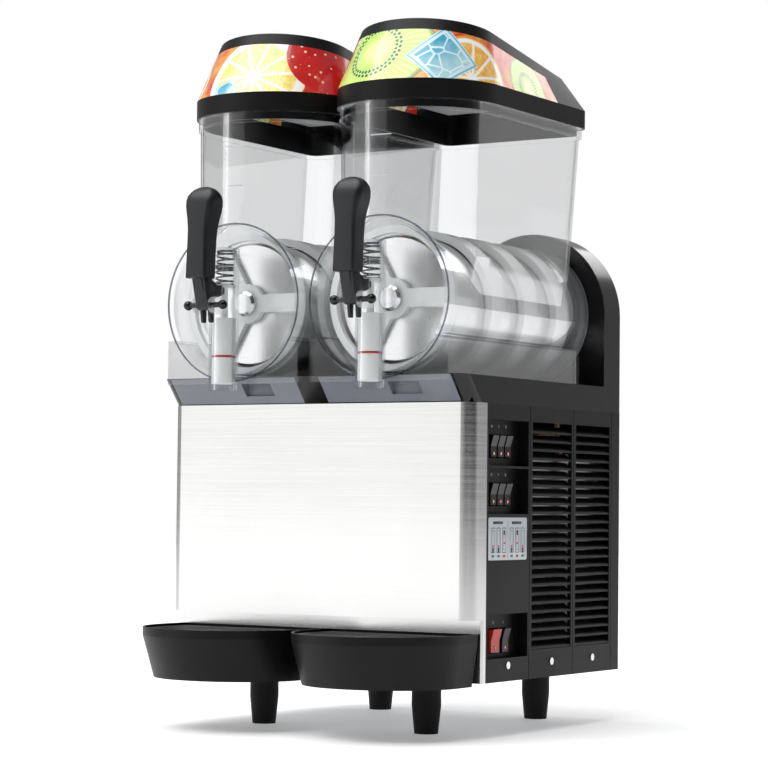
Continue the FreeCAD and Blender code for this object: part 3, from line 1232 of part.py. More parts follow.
def make_grille(side_name, x):
    wall = number("tray_wall") + number("fit_gap")
    top = number("foot_height - tray_low + tray_height - grille_drop")
    thick = number("grille_thick")
    plan = tray_wires(wall, 0, 0)[2]
    plate = loft([plan.translated(Vector(0, 0, top - thick)), plan.translated(Vector(0, 0, top))])
    edge = number(FRONT) - number("grille_clear")
    plate = plate.common(block((-number("tray_half"), -2 * number("body_depth"), 0),
                               (number("tray_half"), edge, 2 * top)))
    rear = edge - 8
    front = number(FRONT) - number("tray_reach") + 12
    pitch = number("grille_pitch")
    half = number("tray_half")
    semi = number(FRONT) + number("apron_setback") - number("tray_straight") - front
    slots = []
    for index in range(int((rear - front) / pitch)):
        y = rear - index * pitch
        middle = front + semi
        across = 1.0 if y > middle else math.sqrt(max(0.0, 1 - ((middle - y) / semi) ** 2))
        reach = (half - 14) * across
        if reach > 12:
            slots.append(block((-reach, y - number("grille_slot"), top - thick - 1), (-3, y, top + 1)))
            slots.append(block((3, y - number("grille_slot"), top - thick - 1), (reach, y, top + 1)))
    shape = plate.cut(slots).removeSplitter()
    keep(place(feature(side_name + "_grille_plate", shape), x, 0, 0), side_name + "_drip_grille")


# ---------------------------------------------------------------- build, check and write

make_feet()
make_base_pan()
make_front_panel()
make_apron_panel()
make_deck()
make_rear_panel()
make_side_panels()
make_control_panel()
make_rockers()
make_panel_screws()
make_compressor()
make_condenser()
make_fan()
make_pipes()
make_control_board()
make_mains_inlet()
for side_name, sign in SIDES:
    bowl_x = f"{sign} * bowl_pitch / 2"
    tray_x = f"{sign} * tray_pitch / 2"
    make_evaporator(side_name, bowl_x)
    make_gasket(side_name, bowl_x)
    make_tower(side_name, sign)
    make_gearmotor(side_name, bowl_x)
    make_shaft(side_name, bowl_x)
    make_auger(side_name, bowl_x)
    make_bowl(side_name, bowl_x)
    make_lid(side_name, bowl_x)
    make_lid_lamp(side_name, bowl_x)
    make_piston(side_name, bowl_x)
    make_o_ring(side_name, bowl_x)
    make_spring(side_name, bowl_x)
    make_lever(side_name, bowl_x)
    make_lever_pin(side_name, bowl_x)
    make_tray(side_name, tray_x)
    make_grille(side_name, tray_x)
doc.recompute()

faults = []
for item in doc.Objects:
    if "Invalid" in item.State or "Error" in item.State:
        faults.append(f"{item.Name}: {item.State}")
for item in subparts:
    if item.Shape.isNull() or not item.Shape.isValid():
        faults.append(f"{item.Label}: shape is null or not valid")
if faults:
    raise RuntimeError("; ".join(faults))

os.makedirs("parts", exist_ok=True)
for item in subparts:
    item.Shape.exportStep(f"parts/{item.Label}.step")
    box_of = item.Shape.BoundBox
    print(f"{item.Label:22s} {len(item.Shape.Solids)} solids {item.Shape.Volume / 1000:9.1f} cm3 "
          f"z {box_of.ZMin:.1f} to {box_of.ZMax:.1f}")
whole = FreeCAD.BoundBox()
for item in subparts:
    whole.add(item.Shape.BoundBox)
print(len(subparts), "sub-parts; whole", whole)
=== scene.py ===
import math

import bmesh
import bpy
from mathutils import Matrix, Vector


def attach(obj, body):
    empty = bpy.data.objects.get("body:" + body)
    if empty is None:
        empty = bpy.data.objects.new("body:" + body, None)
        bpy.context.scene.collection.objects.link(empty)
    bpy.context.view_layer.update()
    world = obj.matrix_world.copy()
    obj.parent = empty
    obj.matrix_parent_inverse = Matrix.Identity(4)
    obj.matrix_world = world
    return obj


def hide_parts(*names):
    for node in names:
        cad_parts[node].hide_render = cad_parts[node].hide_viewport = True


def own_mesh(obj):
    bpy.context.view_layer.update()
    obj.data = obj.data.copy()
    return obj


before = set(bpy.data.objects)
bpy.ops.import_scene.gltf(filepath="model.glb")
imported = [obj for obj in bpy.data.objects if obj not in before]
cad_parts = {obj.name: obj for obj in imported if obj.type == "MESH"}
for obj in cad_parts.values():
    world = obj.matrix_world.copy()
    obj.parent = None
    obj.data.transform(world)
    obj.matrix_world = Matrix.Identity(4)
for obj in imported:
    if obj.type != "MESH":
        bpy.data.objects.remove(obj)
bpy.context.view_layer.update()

TAP_Y = -163.5  # the valve stem and its spring, mm
LABEL_FACE = 195.0  # outside of the control panel, mm
PLATE_RADIUS = 0.0875  # each bowl's round front plate, m
PLATE_AXIS_Z = 0.4669
BOWLS = (("left", -0.0945), ("right", 0.0945))  # name and middle of each bowl, m


# ---------- materials ----------

class Finish:
    """A node material that starts from one Principled shader, in the object's own coordinates."""

    def __init__(self, name, color, roughness, metallic=0.0, **sockets):
        self.material = bpy.data.materials.new(name)
        self.material.use_nodes = True
        self.tree = self.material.node_tree
        self.shader = self.tree.nodes["Principled BSDF"]
        self.output = self.tree.nodes["Material Output"]
        self.set(self.shader, Base_Color=(*color, 1.0), Roughness=roughness, Metallic=metallic, **sockets)
        self.place = self.tree.nodes.new("ShaderNodeTexCoord").outputs["Object"]

    def set(self, node, **sockets):
        for socket, value in sockets.items():
            key = int(socket[1:]) if socket[0] == "_" else socket.replace("_", " ")
            socket = node.inputs[key]
            if isinstance(value, bpy.types.NodeSocket):
                self.tree.links.new(value, socket)
            else:
                socket.default_value = value

    def node(self, kind, settings=None, **sockets):
        made = self.tree.nodes.new("ShaderNode" + kind)
        for key, value in (settings or {}).items():
            setattr(made, key, value)
        self.set(made, **sockets)
        return made

    def stretched(self, scale, place=None):
        """The object's coordinates, scaled along each axis."""
        return self.node("Mapping", Vector=place or self.place, Scale=scale).outputs["Vector"]

    def noise(self, scale, detail=3.0, stretch=(1, 1, 1), roughness=0.55):
        return self.node("TexNoise", Vector=self.stretched(stretch), Scale=scale, Detail=detail,
                         Roughness=roughness).outputs["Fac"]

    def spread(self, value, low, high, start=0.3, end=0.7):
        """value mapped from start..end to low..high."""
        return self.node("MapRange", Value=value, From_Min=start, From_Max=end, To_Min=low,
                         To_Max=high).outputs["Result"]

    def math(self, operation, first, second=0.0, third=0.0):
        return self.node("Math", {"operation": operation}, _0=first, _1=second, _2=third).outputs["Value"]

    def blend(self, share, first, second):
        made = self.node("Mix", {"data_type": "RGBA"}, _0=share)
        for socket, value in ((made.inputs[6], first), (made.inputs[7], second)):
            if isinstance(value, bpy.types.NodeSocket):
                self.tree.links.new(value, socket)
            else:
                socket.default_value = (*value, 1.0)
        return made.outputs[2]

    def bump(self, height, strength, distance):
        made = self.node("Bump", Height=height, Strength=strength, Distance=distance)
        self.set(self.shader, Normal=made.outputs["Normal"])

    def vary(self, value, first, second):
        self.set(self.shader, Base_Color=self.blend(value, first, second))


def grain(name, color, lighter, roughness, scale, bump=0.12, metallic=0.0, spread=0.08, **sockets):
    """Moulded or painted surface: fine grain, faint cloudy wear in its colour and gloss."""
    made = Finish(name, color, roughness, metallic, **sockets)
    cloud = made.noise(9.0, 4.0)
    fine = made.noise(scale, 2.0)
    made.vary(made.spread(cloud, 0.0, 1.0), color, lighter)
    made.set(made.shader, Roughness=made.spread(made.math("ADD", cloud, made.math("MULTIPLY", fine, 0.4)),
                                                roughness - spread, roughness + spread, 0.45, 0.95))
    if bump:
        made.bump(fine, bump, 0.0003)
    return made.material


def brushed(name, color, lighter, roughness, along, bump=0.05):
    """Metal brushed along the axes in along: long hair lines in its colour, gloss and surface."""
    made = Finish(name, color, roughness, 1.0)
    stretch = [1.5 if axis in along else 260.0 for axis in range(3)]
    lines = made.noise(4.0, 4.0, stretch, 0.6)
    cloud = made.noise(5.0, 3.0)
    made.vary(made.spread(made.math("ADD", lines, made.math("MULTIPLY", cloud, 0.5)), 0.0, 1.0, 0.5, 1.0),
              color, lighter)
    made.set(made.shader, Roughness=made.spread(lines, roughness - 0.04, roughness + 0.04))
    made.bump(lines, bump, 0.0001)
    return made.material


def clear(name, middle, edge, shine, haze=0.03):
    """Thin clear plastic: lets light straight through, darker and more mirror-like seen edge on."""
    made = Finish(name, middle, haze)
    facing = made.node("LayerWeight", Blend=0.5).outputs["Facing"]
    steep = made.spread(facing, 0.0, 1.0, 0.78, 0.99)
    through = made.node("BsdfTransparent", Color=made.blend(steep, middle, edge))
    scuffs = made.noise(140.0, 3.0)
    gloss = made.node("BsdfGlossy", Color=(1, 1, 1, 1),
                      Roughness=made.spread(scuffs, haze * 0.6, haze * 1.6))
    fresnel = made.node("Fresnel", IOR=1.45).outputs["Fac"]
    share = made.math("MINIMUM", made.math("MULTIPLY_ADD", fresnel, shine, 0.002), 0.6)
    mixed = made.node("MixShader", _0=share, _1=through.outputs[0], _2=gloss.outputs[0])
    made.tree.nodes.remove(made.shader)
    made.set(made.output, Surface=mixed.outputs[0])
    return made.material


def deck_finish():
    """Gloss black, with painted reflection: the two faces of its leaning front painted blue-grey in place of
    the bright softbox they would mirror.
    """
    made = Finish("black_gloss_deck", (0.004, 0.004, 0.0045), 0.13, Specular_IOR_Level=0.35)
    split = made.node("SeparateXYZ", Vector=made.place).outputs
    across = made.math("ABSOLUTE", split["X"])
    outer = made.math("LESS_THAN", across, 0.181)
    inner = made.math("GREATER_THAN", across, 0.0155)
    front = made.math("LESS_THAN", split["Y"], -0.1203)
    low = made.math("GREATER_THAN", split["Z"], 0.3562)
    under = made.math("LESS_THAN", split["Z"], 0.3832)
    share = made.math("MULTIPLY", made.math("MULTIPLY", outer, inner),
                      made.math("MULTIPLY", made.math("MULTIPLY", low, under), front))
    cloud = made.noise(14.0, 4.0)
    # painted reflection: the leaning front faces get a blue-grey colour, standing in for the softbox mirrored
    # in the gloss black
    painted_reflection_grey = made.blend(made.spread(cloud, 0.0, 1.0), (0.150, 0.162, 0.190), (0.185, 0.196, 0.222))
    made.vary(share, (0.005, 0.005, 0.0055), painted_reflection_grey)
    made.set(made.shader, Roughness=made.spread(made.noise(60.0, 3.0), 0.09, 0.18))
    made.bump(made.noise(700.0, 2.0), 0.02, 0.0002)
    return made.material


# ---------- lid graphics: slices of fruit and ice, laid on the lid by position ----------

def slice_on(made, centre, normal, radius, spin=0.0):
    """Each point's place, distance (1 at the edge) and angle in a flat slice, and whether it lies near it."""
    normal = Vector(normal).normalized()
    across = Vector((0, 0, 1)).cross(normal).normalized()
    up = normal.cross(across)
    turned = (math.cos(spin) * across + math.sin(spin) * up,
              math.cos(spin) * up - math.sin(spin) * across)
    moved = made.node("VectorMath", {"operation": "SUBTRACT"}, _0=made.place,
                      _1=Vector(centre) / 1000).outputs["Vector"]
    part = []
    for axis in (*turned, normal):
        dot = made.node("VectorMath", {"operation": "DOT_PRODUCT"}, _0=moved, _1=axis)
        part.append(made.math("MULTIPLY", dot.outputs["Value"], 1000 / radius))
    ripple = made.math("MULTIPLY_ADD", made.noise(60.0, 2.0), 0.05, -0.025)
    square = made.math("ADD", made.math("MULTIPLY", part[0], part[0]),
                       made.math("MULTIPLY", part[1], part[1]))
    far = made.math("ADD", made.math("SQRT", square), ripple)
    angle = made.math("ARCTAN2", part[1], part[0])
    near = made.math("LESS_THAN", made.math("ABSOLUTE", part[2]), 45.0 / radius)
    return part[0], part[1], far, angle, near


def soft_step(made, value, edge, width=0.02):
    """0 below edge, 1 above it, with a soft line between."""
    return made.spread(value, 0.0, 1.0, edge - width, edge + width)


def spoke_gap(made, far, angle, count):
    """Distance to the nearest of the lines that split a round slice into count parts."""
    turn = made.math("FRACT", made.math("MULTIPLY_ADD", angle, count / (2 * math.pi), 10.0))
    middle = made.math("ABSOLUTE", made.math("SUBTRACT", turn, 0.5))
    return made.math("MULTIPLY", made.math("SUBTRACT", 0.5, middle),
                     made.math("MULTIPLY", far, 2 * math.pi / count))


def laid_over(made, under, over, far, near, edge=1.0):
    inside = made.math("SUBTRACT", 1.0, soft_step(made, far, edge, 0.012))
    return made.blend(made.math("MULTIPLY", inside, near), under, over)


def citrus(made, under, centre, normal, radius, flesh, pale, rind):
    """A slice of orange or lemon, in eleven segments."""
    _, _, far, angle, near = slice_on(made, centre, normal, radius, 0.2)
    pulp = made.node("TexVoronoi", Vector=made.stretched((1, 1, 1)), Scale=240.0).outputs["Distance"]
    color = made.blend(made.spread(pulp, 0.0, 1.0, 0.15, 0.75), flesh, pale)
    color = made.blend(made.spread(made.noise(90.0, 3.0), 0.0, 0.8, 0.5, 0.75), color, (0.95, 0.80, 0.42))
    gap = spoke_gap(made, far, angle, 11)
    color = made.blend(soft_step(made, gap, 0.03, 0.015), (0.93, 0.90, 0.80), color)
    ragged = made.math("MULTIPLY_ADD", made.noise(200.0), 0.08, made.math("SUBTRACT", far, 0.04))
    core = soft_step(made, ragged, 0.12, 0.03)
    color = made.blend(core, (0.90, 0.91, 0.93), color)
    color = made.blend(soft_step(made, far, 0.83), color, (0.94, 0.92, 0.86))
    color = made.blend(soft_step(made, far, 0.94), color, rind)
    return laid_over(made, under, color, far, near)


def kiwi(made, under, centre, normal, radius):
    """A slice of kiwi, with two rows of seeds."""
    _, _, far, angle, near = slice_on(made, centre, normal, radius)
    rays = made.math("SINE", made.math("MULTIPLY", angle, 46.0))
    rays = made.math("MULTIPLY_ADD", rays, 0.25, made.noise(45.0, 4.0))
    color = made.blend(soft_step(made, far, 0.22, 0.12), (0.78, 0.82, 0.34), (0.42, 0.66, 0.10))
    color = made.blend(soft_step(made, far, 0.62, 0.25), color, (0.55, 0.72, 0.14))
    color = made.blend(made.spread(rays, 0.0, 0.75, 0.45, 0.85), color, (0.80, 0.88, 0.42))
    for row, ring in enumerate((0.42, 0.49)):
        turn = made.math("FRACT", made.math("MULTIPLY_ADD", angle, 34 / (2 * math.pi), 10.0 + 0.5 * row))
        off = made.math("MULTIPLY", made.math("SUBTRACT", turn, 0.5), 2.4)
        out = made.math("MULTIPLY", made.math("SUBTRACT", far, ring), 30.0)
        size = made.math("ADD", made.math("MULTIPLY", off, off), made.math("MULTIPLY", out, out))
        color = made.blend(soft_step(made, size, 0.75, 0.12), (0.04, 0.34, 0.10), color)
        color = made.blend(soft_step(made, size, 0.42, 0.08), (0.006, 0.010, 0.006), color)
    color = made.blend(soft_step(made, far, 0.93), color, (0.24, 0.42, 0.05))
    color = made.blend(soft_step(made, far, 0.975), color, (0.20, 0.11, 0.03))
    return laid_over(made, under, color, far, near)


def strawberry(made, under, centre, normal, radius, spin=0.0):
    """A whole strawberry, narrower at one end."""
    aside, along, far, _, near = slice_on(made, centre, normal, radius, spin)
    cells = made.node("TexVoronoi", Vector=made.stretched((1, 1, 1)), Scale=105.0).outputs["Distance"]
    color = made.blend(made.spread(made.noise(26.0, 3.0), 0.0, 1.0, 0.45, 0.7), (0.50, 0.004, 0.006),
                       (0.66, 0.022, 0.012))
    color = made.blend(soft_step(made, cells, 0.16, 0.04), (0.93, 0.74, 0.50), color)
    color = made.blend(made.spread(made.noise(38.0, 1.0), 0.0, 0.6, 0.66, 0.72), color, (0.78, 0.24, 0.20))
    narrow = made.math("MULTIPLY_ADD", along, -0.28, far)
    reach = made.math("ADD", narrow, made.math("MULTIPLY", aside, 0.02))
    return laid_over(made, under, color, reach, near, 0.92)


def ice_cube(made, under, centre, normal, radius, spin):
    aside, along, _, _, near = slice_on(made, centre, normal, radius, spin)
    reach = made.math("MAXIMUM", made.math("ABSOLUTE", aside), made.math("ABSOLUTE", along))
    drift = made.math("MULTIPLY_ADD", made.noise(70.0, 3.0), 0.5, made.math("MULTIPLY", along, 0.35))
    color = made.blend(made.spread(drift, 0.0, 1.0, 0.05, 0.45), (0.42, 0.66, 0.72), (0.02, 0.34, 0.50))
    crack = made.node("TexVoronoi", {"feature": "DISTANCE_TO_EDGE"}, Vector=made.stretched((1, 1, 1)),
                      Scale=55.0).outputs["Distance"]
    color = made.blend(soft_step(made, crack, 0.04, 0.03), (0.72, 0.88, 0.92), color)
    color = made.blend(soft_step(made, reach, 0.78, 0.02), color, (0.62, 0.80, 0.86))
    color = made.blend(soft_step(made, reach, 0.90, 0.03), color, (0.05, 0.42, 0.56))
    color = made.blend(soft_step(made, reach, 0.96, 0.02), color, (0.60, 0.78, 0.82))
    return laid_over(made, under, color, reach, near)


ORANGE = ((0.80, 0.33, 0.02), (0.88, 0.50, 0.07), (0.78, 0.30, 0.01))
LEMON = ((0.82, 0.60, 0.06), (0.90, 0.76, 0.26), (0.90, 0.88, 0.74))


def lid_graphic(side_name):
    """The print on one lid. Each fruit has its centre and normal on the lid, and its radius, in mm."""
    made = Finish(side_name + "_lid_fruit_print", (0.7, 0.7, 0.4), 0.22, Coat_Weight=0.5,
                  Coat_Roughness=0.05)
    color = made.blend(made.spread(made.noise(24.0, 3.0), 0.0, 1.0, 0.42, 0.6), (0.60, 0.03, 0.012),
                       (0.80, 0.34, 0.05))
    if side_name == "right":
        color = citrus(made, color, (172, -95, 697), (0.84, -0.43, 0.34), 52, *ORANGE)
        color = kiwi(made, color, (76, -131, 733), (-0.18, -0.87, 0.46), 66)
        color = kiwi(made, color, (185, 12, 704), (0.96, 0.01, 0.29), 38)
        color = strawberry(made, color, (14, -75, 722), (-0.9, -0.3, 0.33), 42)
        color = citrus(made, color, (4, 12, 712), (-0.96, 0.01, 0.29), 42, *LEMON)
        color = ice_cube(made, color, (152, -116, 722), (0.63, -0.66, 0.40), 28, 0.62)
    else:
        color = citrus(made, color, (-76, -140, 716), (0.17, -0.87, 0.46), 56, *LEMON)
        color = strawberry(made, color, (-18, -92, 727), (0.79, -0.49, 0.36), 44, -0.5)
        color = kiwi(made, color, (-60, -120, 745.7), (0.38, -0.81, 0.44), 5)
        color = kiwi(made, color, (-4, 12, 710), (0.96, 0.01, 0.29), 40)
        color = citrus(made, color, (-172, -90, 700), (-0.84, -0.43, 0.34), 46, *ORANGE)
        color = kiwi(made, color, (-185, 12, 708), (-0.96, 0.01, 0.29), 42)
        color = ice_cube(made, color, (-107, -148, 700), (-0.12, -0.88, 0.46), 14, 0.4)
    made.set(made.shader, Base_Color=color, Roughness=made.spread(made.noise(80.0, 3.0), 0.16, 0.28))
    made.bump(made.noise(900.0, 2.0), 0.02, 0.0002)
    return made.material


FINISHES = {
    "brushed_stainless": brushed("stainless_brushed_across", (0.56, 0.56, 0.555), (0.63, 0.63, 0.625), 0.17,
                                 (0, 1), 0.012),
    "mirror_stainless": brushed("stainless_drum", (0.70, 0.70, 0.70), (0.80, 0.80, 0.80), 0.30, (0, 2), 0.02),
    "galvanised_sheet": grain("zinc_sheet", (0.42, 0.43, 0.44), (0.56, 0.57, 0.58), 0.42, 60.0, 0.05, 1.0),
    "black_gloss": grain("black_gloss_moulding", (0.004, 0.004, 0.0045), (0.007, 0.007, 0.0075), 0.16,
                         900.0, 0.02, 0.0, 0.04, Specular_IOR_Level=0.35),
    "black_moulding": grain("black_satin_moulding", (0.0035, 0.0035, 0.004), (0.006, 0.006, 0.0065), 0.40,
                            1400.0, 0.10, 0.0, 0.06, Specular_IOR_Level=0.16),
    "black_rubber": grain("black_rubber", (0.005, 0.005, 0.0055), (0.009, 0.009, 0.009), 0.6, 700.0, 0.2,
                          Specular_IOR_Level=0.2),
    "black_enamel": grain("black_enamel", (0.010, 0.010, 0.011), (0.018, 0.018, 0.02), 0.3, 300.0, 0.08),
    "aluminium_fins": brushed("aluminium_fins", (0.50, 0.51, 0.53), (0.66, 0.67, 0.69), 0.34, (2,), 0.1),
    "copper": brushed("copper_pipe", (0.56, 0.27, 0.17), (0.74, 0.40, 0.27), 0.3, (2,), 0.05),
    "circuit_board": grain("circuit_board", (0.012, 0.10, 0.045), (0.02, 0.16, 0.07), 0.4, 400.0, 0.1),
    "bright_steel": brushed("bright_steel", (0.60, 0.60, 0.61), (0.78, 0.78, 0.79), 0.22, (0, 1), 0.03),
    "grey_silicone": grain("grey_silicone", (0.22, 0.225, 0.23), (0.30, 0.305, 0.31), 0.55, 500.0, 0.1),
    "white_acetal": grain("white_acetal", (0.78, 0.80, 0.80), (0.86, 0.88, 0.88), 0.34, 600.0, 0.05,
                          Subsurface_Weight=0.15, Subsurface_Radius=(0.004, 0.004, 0.004)),
    "clear_polycarbonate": clear("clear_polycarbonate", (0.994, 0.996, 0.998), (0.34, 0.36, 0.40), 0.45),
    "graphic_panel": grain("graphic_backing", (0.55, 0.58, 0.5), (0.6, 0.62, 0.55), 0.3, 300.0, 0.02),
    "lamp_housing": grain("lamp_housing", (0.012, 0.012, 0.013), (0.02, 0.02, 0.02), 0.4, 500.0, 0.1),
    "red_rubber": grain("red_rubber", (0.45, 0.015, 0.012), (0.58, 0.03, 0.02), 0.45, 500.0, 0.1),
    "black_rocker": grain("black_rocker", (0.004, 0.004, 0.0045), (0.007, 0.007, 0.0075), 0.24, 900.0, 0.05,
                          Specular_IOR_Level=0.3),
    "red_rocker": grain("red_rocker", (0.42, 0.008, 0.007), (0.52, 0.02, 0.015), 0.2, 900.0, 0.05,
                        Emission_Color=(1.0, 0.05, 0.03, 1), Emission_Strength=0.04),
}
for name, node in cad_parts.items():
    for slot in node.material_slots:
        key = slot.material.name.split(".")[0] if slot.material else ""
        if key not in FINISHES:
            raise SystemExit(f"no finish for {name}: {key}")
        slot.material = FINISHES[key]


# ---------- pieces ----------

def add_piece(name, mesh_data, body, *materials, slot=None):
    """An object made from a bmesh, with its materials, riding on a body."""
    bmesh.ops.recalc_face_normals(mesh_data, faces=mesh_data.faces)
    mesh = bpy.data.meshes.new(name)
    mesh_data.to_mesh(mesh)
    mesh_data.free()
    for material in materials:
        mesh.materials.append(material)
    mesh.polygons.foreach_set("use_smooth", [True] * len(mesh.polygons))
    mesh.set_sharp_from_angle(angle=math.radians(38))
    piece = bpy.data.objects.new(name, mesh)
    bpy.context.scene.collection.objects.link(piece)
    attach(piece, body)
    return piece


def skin(mesh, rings, material=0):
    """Quads between rings of points, with a cap on each end."""
    rows = [[mesh.verts.new(point) for point in ring] for ring in rings]
    count = len(rows[0])
    faces = [mesh.faces.new((low[i], low[(i + 1) % count], high[(i + 1) % count], high[i]))
             for low, high in zip(rows, rows[1:]) for i in range(count)]
    faces += [mesh.faces.new(rows[0][::-1]), mesh.faces.new(rows[-1])]
    for face in faces:
        face.material_index = material


def rounded(half_x, half_y, corner, steps=5):
    """Points round a rectangle with round corners, in mm."""
    corner = min(corner, half_x * 0.98, half_y * 0.98)
    points = []
    for turn, (side_x, side_y) in enumerate(((1, 1), (-1, 1), (-1, -1), (1, -1))):
        for step in range(steps + 1):
            angle = math.radians(90 * turn + 90 * step / steps)
            points.append((side_x * (half_x - corner) + corner * math.cos(angle),
                           side_y * (half_y - corner) + corner * math.sin(angle)))
    return points


def prism(mesh, outline, low, high, axis, soft=0.8, material=0):
    """A plate of an outline given in mm, between low and high along axis 0, 1 or 2, its edges softened."""
    middle = [sum(point[i] for point in outline) / len(outline) for i in (0, 1)]

    def ring(level, inset):
        points = []
        for first, second in outline:
            away = math.hypot(first - middle[0], second - middle[1]) or 1.0
            share = 1 - inset / away
            flat = [middle[0] + (first - middle[0]) * share, middle[1] + (second - middle[1]) * share]
            flat.insert(axis, level)
            points.append([part / 1000 for part in flat])
        return points

    skin(mesh, [ring(low, soft), ring(low + soft * 0.3, soft * 0.3), ring(low + soft, 0),
                ring(high - soft, 0), ring(high - soft * 0.3, soft * 0.3), ring(high, soft)], material)


def smooth_outline(points):
    """Cuts the corners of an outline twice, so that it turns smoothly."""
    for _ in range(2):
        cut = []
        for here, after in zip(points, points[1:] + points[:1]):
            cut.append(tuple(0.82 * a + 0.18 * b for a, b in zip(here, after)))
            cut.append(tuple(0.18 * a + 0.82 * b for a, b in zip(here, after)))
        points = cut
    return points


# height, front, back, half width, corner of each level of the grip, in mm
GRIP_LEVELS = [(488.0, -213.7, -194.6, 12.0, 2.0), (488.5, -214.5, -193.6, 12.9, 2.6),
               (491.0, -214.7, -193.2, 13.1, 2.8), (500.0, -214.9, -193.0, 13.0, 3.0),
               (515.0, -215.2, -192.8, 12.8, 3.2), (530.0, -215.5, -192.3, 12.7, 3.6),
               (542.0, -215.8, -191.2, 13.0, 4.2), (552.0, -216.1, -189.8, 14.4, 5.0),
               (560.0, -216.3, -188.6, 16.3, 6.0), (567.0, -216.4, -188.2, 17.8, 7.0),
               (573.0, -215.8, -188.8, 18.6, 8.0), (578.0, -214.2, -190.4, 18.2, 8.6),
               (582.0, -211.6, -192.8, 16.2, 8.6), (585.0, -208.6, -195.6, 13.0, 6.4),
               (587.0, -205.8, -198.4, 8.6, 3.6), (588.0, -203.6, -200.6, 4.0, 1.4)]


def make_lever(side_name, x):
    """The grip, leaning back a little; its neck, with a thin plate in front; the hook and the two claws."""
    mesh = bmesh.new()
    rings = []
    for height, front, back, half, corner in GRIP_LEVELS:
        lean = 5.0 * max(0.0, 578.0 - height) / 90.0
        middle, deep = (front + back) / 2 - lean, (back - front) / 2
        rings.append([((x * 1000 + across) / 1000, (middle + along) / 1000, height / 1000)
                      for across, along in rounded(half, deep, corner, 7)])
    skin(mesh, rings)
    left = x * 1000
    neck = [(-215.0, 494.0), (-199.0, 494.0), (-191.5, 470.0), (-190.5, 455.0), (-203.0, 454.0),
            (-207.5, 466.0)]
    hook = [(-200.5, 464.0), (-169.6, 473.2), (-169.6, 482.0), (-173.0, 483.4), (-184.5, 482.6),
            (-190.0, 487.0), (-200.5, 487.0)]
    claw = [(-199.5, 459.0), (-191.5, 459.0), (-191.5, 441.6), (-193.0, 441.0), (-196.0, 441.0),
            (-197.5, 442.0)]
    for outline, start, width in ((neck, -8.0, 16.0), (hook, -5.0, 10.0), (claw, -7.0, 4.0),
                                  (claw, 3.0, 4.0)):
        prism(mesh, smooth_outline(outline), left + start, left + start + width, 0, 0.9)
    plate = [(-216.0, 492.0), (-215.2, 492.0), (-209.6, 474.5), (-210.4, 474.5)]
    prism(mesh, plate, left - 5.2, left + 5.2, 0, 0.2)
    lever = add_piece(side_name + "_lever_moulding", mesh, side_name + "_handle", LEVER_PLASTIC,
                      slot="black_moulding")
    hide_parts(side_name + "_lever")


def make_spring(side_name, x):
    """Round wire coiled about the valve stem, its end turns closed."""
    turns, radius, wire, low, high = 8.0, 9.5, 1.1, 485.4, 521.6
    steps, sides = 260, 8
    rings = []
    for step in range(steps + 1):
        share = step / steps
        eased = share - 0.045 * math.sin(4 * math.pi * share)
        angle = 2 * math.pi * turns * share
        centre = Vector((x * 1000 + radius * math.cos(angle), TAP_Y + radius * math.sin(angle),
                         low + (high - low) * eased))
        outward = Vector((math.cos(angle), math.sin(angle), 0.0))
        ring = []
        for side_index in range(sides):
            spot = 2 * math.pi * side_index / sides
            away = math.cos(spot) * outward + math.sin(spot) * Vector((0, 0, 1))
            ring.append((centre + wire * away) / 1000)
        rings.append(ring)
    mesh = bmesh.new()
    skin(mesh, rings)
    spring = add_piece(side_name + "_coil_spring", mesh, side_name + "_bowl_set", SPRING_WIRE,
                       slot="bright_steel")
    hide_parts(side_name + "_spring")
    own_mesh(spring)


def panel_spot(name, y, z):
    """The outermost point of a CAD node at y, z (metres), looked at along X."""
    hit, place, _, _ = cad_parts[name].ray_cast(Vector((0.4, y, z)), Vector((-1, 0, 0)))
    return place.x if hit else None


def make_label():
    """The mode label: a pale sticker with two groups of three slide switches, and no lettering."""
    mesh = bmesh.new()
    face = LABEL_FACE
    low_y, high_y, low_z, high_z = -84.5, 0.0, 188.4, 233.8
    middle = ((low_y + high_y) / 2, (low_z + high_z) / 2)
    outline = [(middle[0] + a, middle[1] + b)
               for a, b in rounded((high_y - low_y) / 2, (high_z - low_z) / 2, 2.0, 4)]
    prism(mesh, outline, face - 0.1, face + 0.25, 0, 0.1, 0)

    def patch(y, z, half_y, half_z, rise, material, corner=0.5):
        prism(mesh, [(y + a, z + b) for a, b in rounded(half_y, half_z, corner, 3)],
              face + 0.2, face + 0.25 + rise, 0, 0.04, material)

    for group in range(2):
        start = low_y + 6.5 + group * 41.0
        patch(start + 14.0, high_z - 5.6, 11.0, 1.5, 0.08, 1, 1.4)
        for index in range(3):
            y = start + 3.2 + index * 12.2
            down = (group, index) not in ((0, 2), (1, 1))
            patch(y, 209.6, 4.3, 13.4, 0.05, 1, 1.0)
            patch(y, 209.6, 3.5, 12.6, 0.08, 0, 0.8)
            patch(y, 209.6, 2.0, 10.6, 0.10, 1, 0.8)
            patch(y, 209.6, 1.5, 10.0, 0.12, 0, 0.6)
            patch(y, 199.0 + (0 if down else 18.5), 1.9, 2.6, 0.16, 1, 0.5)
            patch(y, 203.2 if down else 206.4, 1.9, 1.0, 0.15, 2, 0.4)
            patch(y, 192.6, 3.0, 1.3, 0.08, 2 if not down else 3, 1.2)
    patch(-42.2, 210.0, 0.25, 20.0, 0.06, 1, 0.2)
    add_piece("mode_label", mesh, "cabinet", LABEL_PAPER, LABEL_INK, LABEL_RED, LABEL_GREEN)


ROCKERS = [(f"{bowl}_{mode}_rocker", -40.5 + (index - 1) * 15.6, z)
           for bowl, z in (("left", 310.0), ("right", 258.5))
           for index, mode in enumerate(("freeze", "chill", "mix"))]
ROCKERS += [("power_rocker", -49.5, 102.0), ("light_rocker", -27.5, 102.0)]


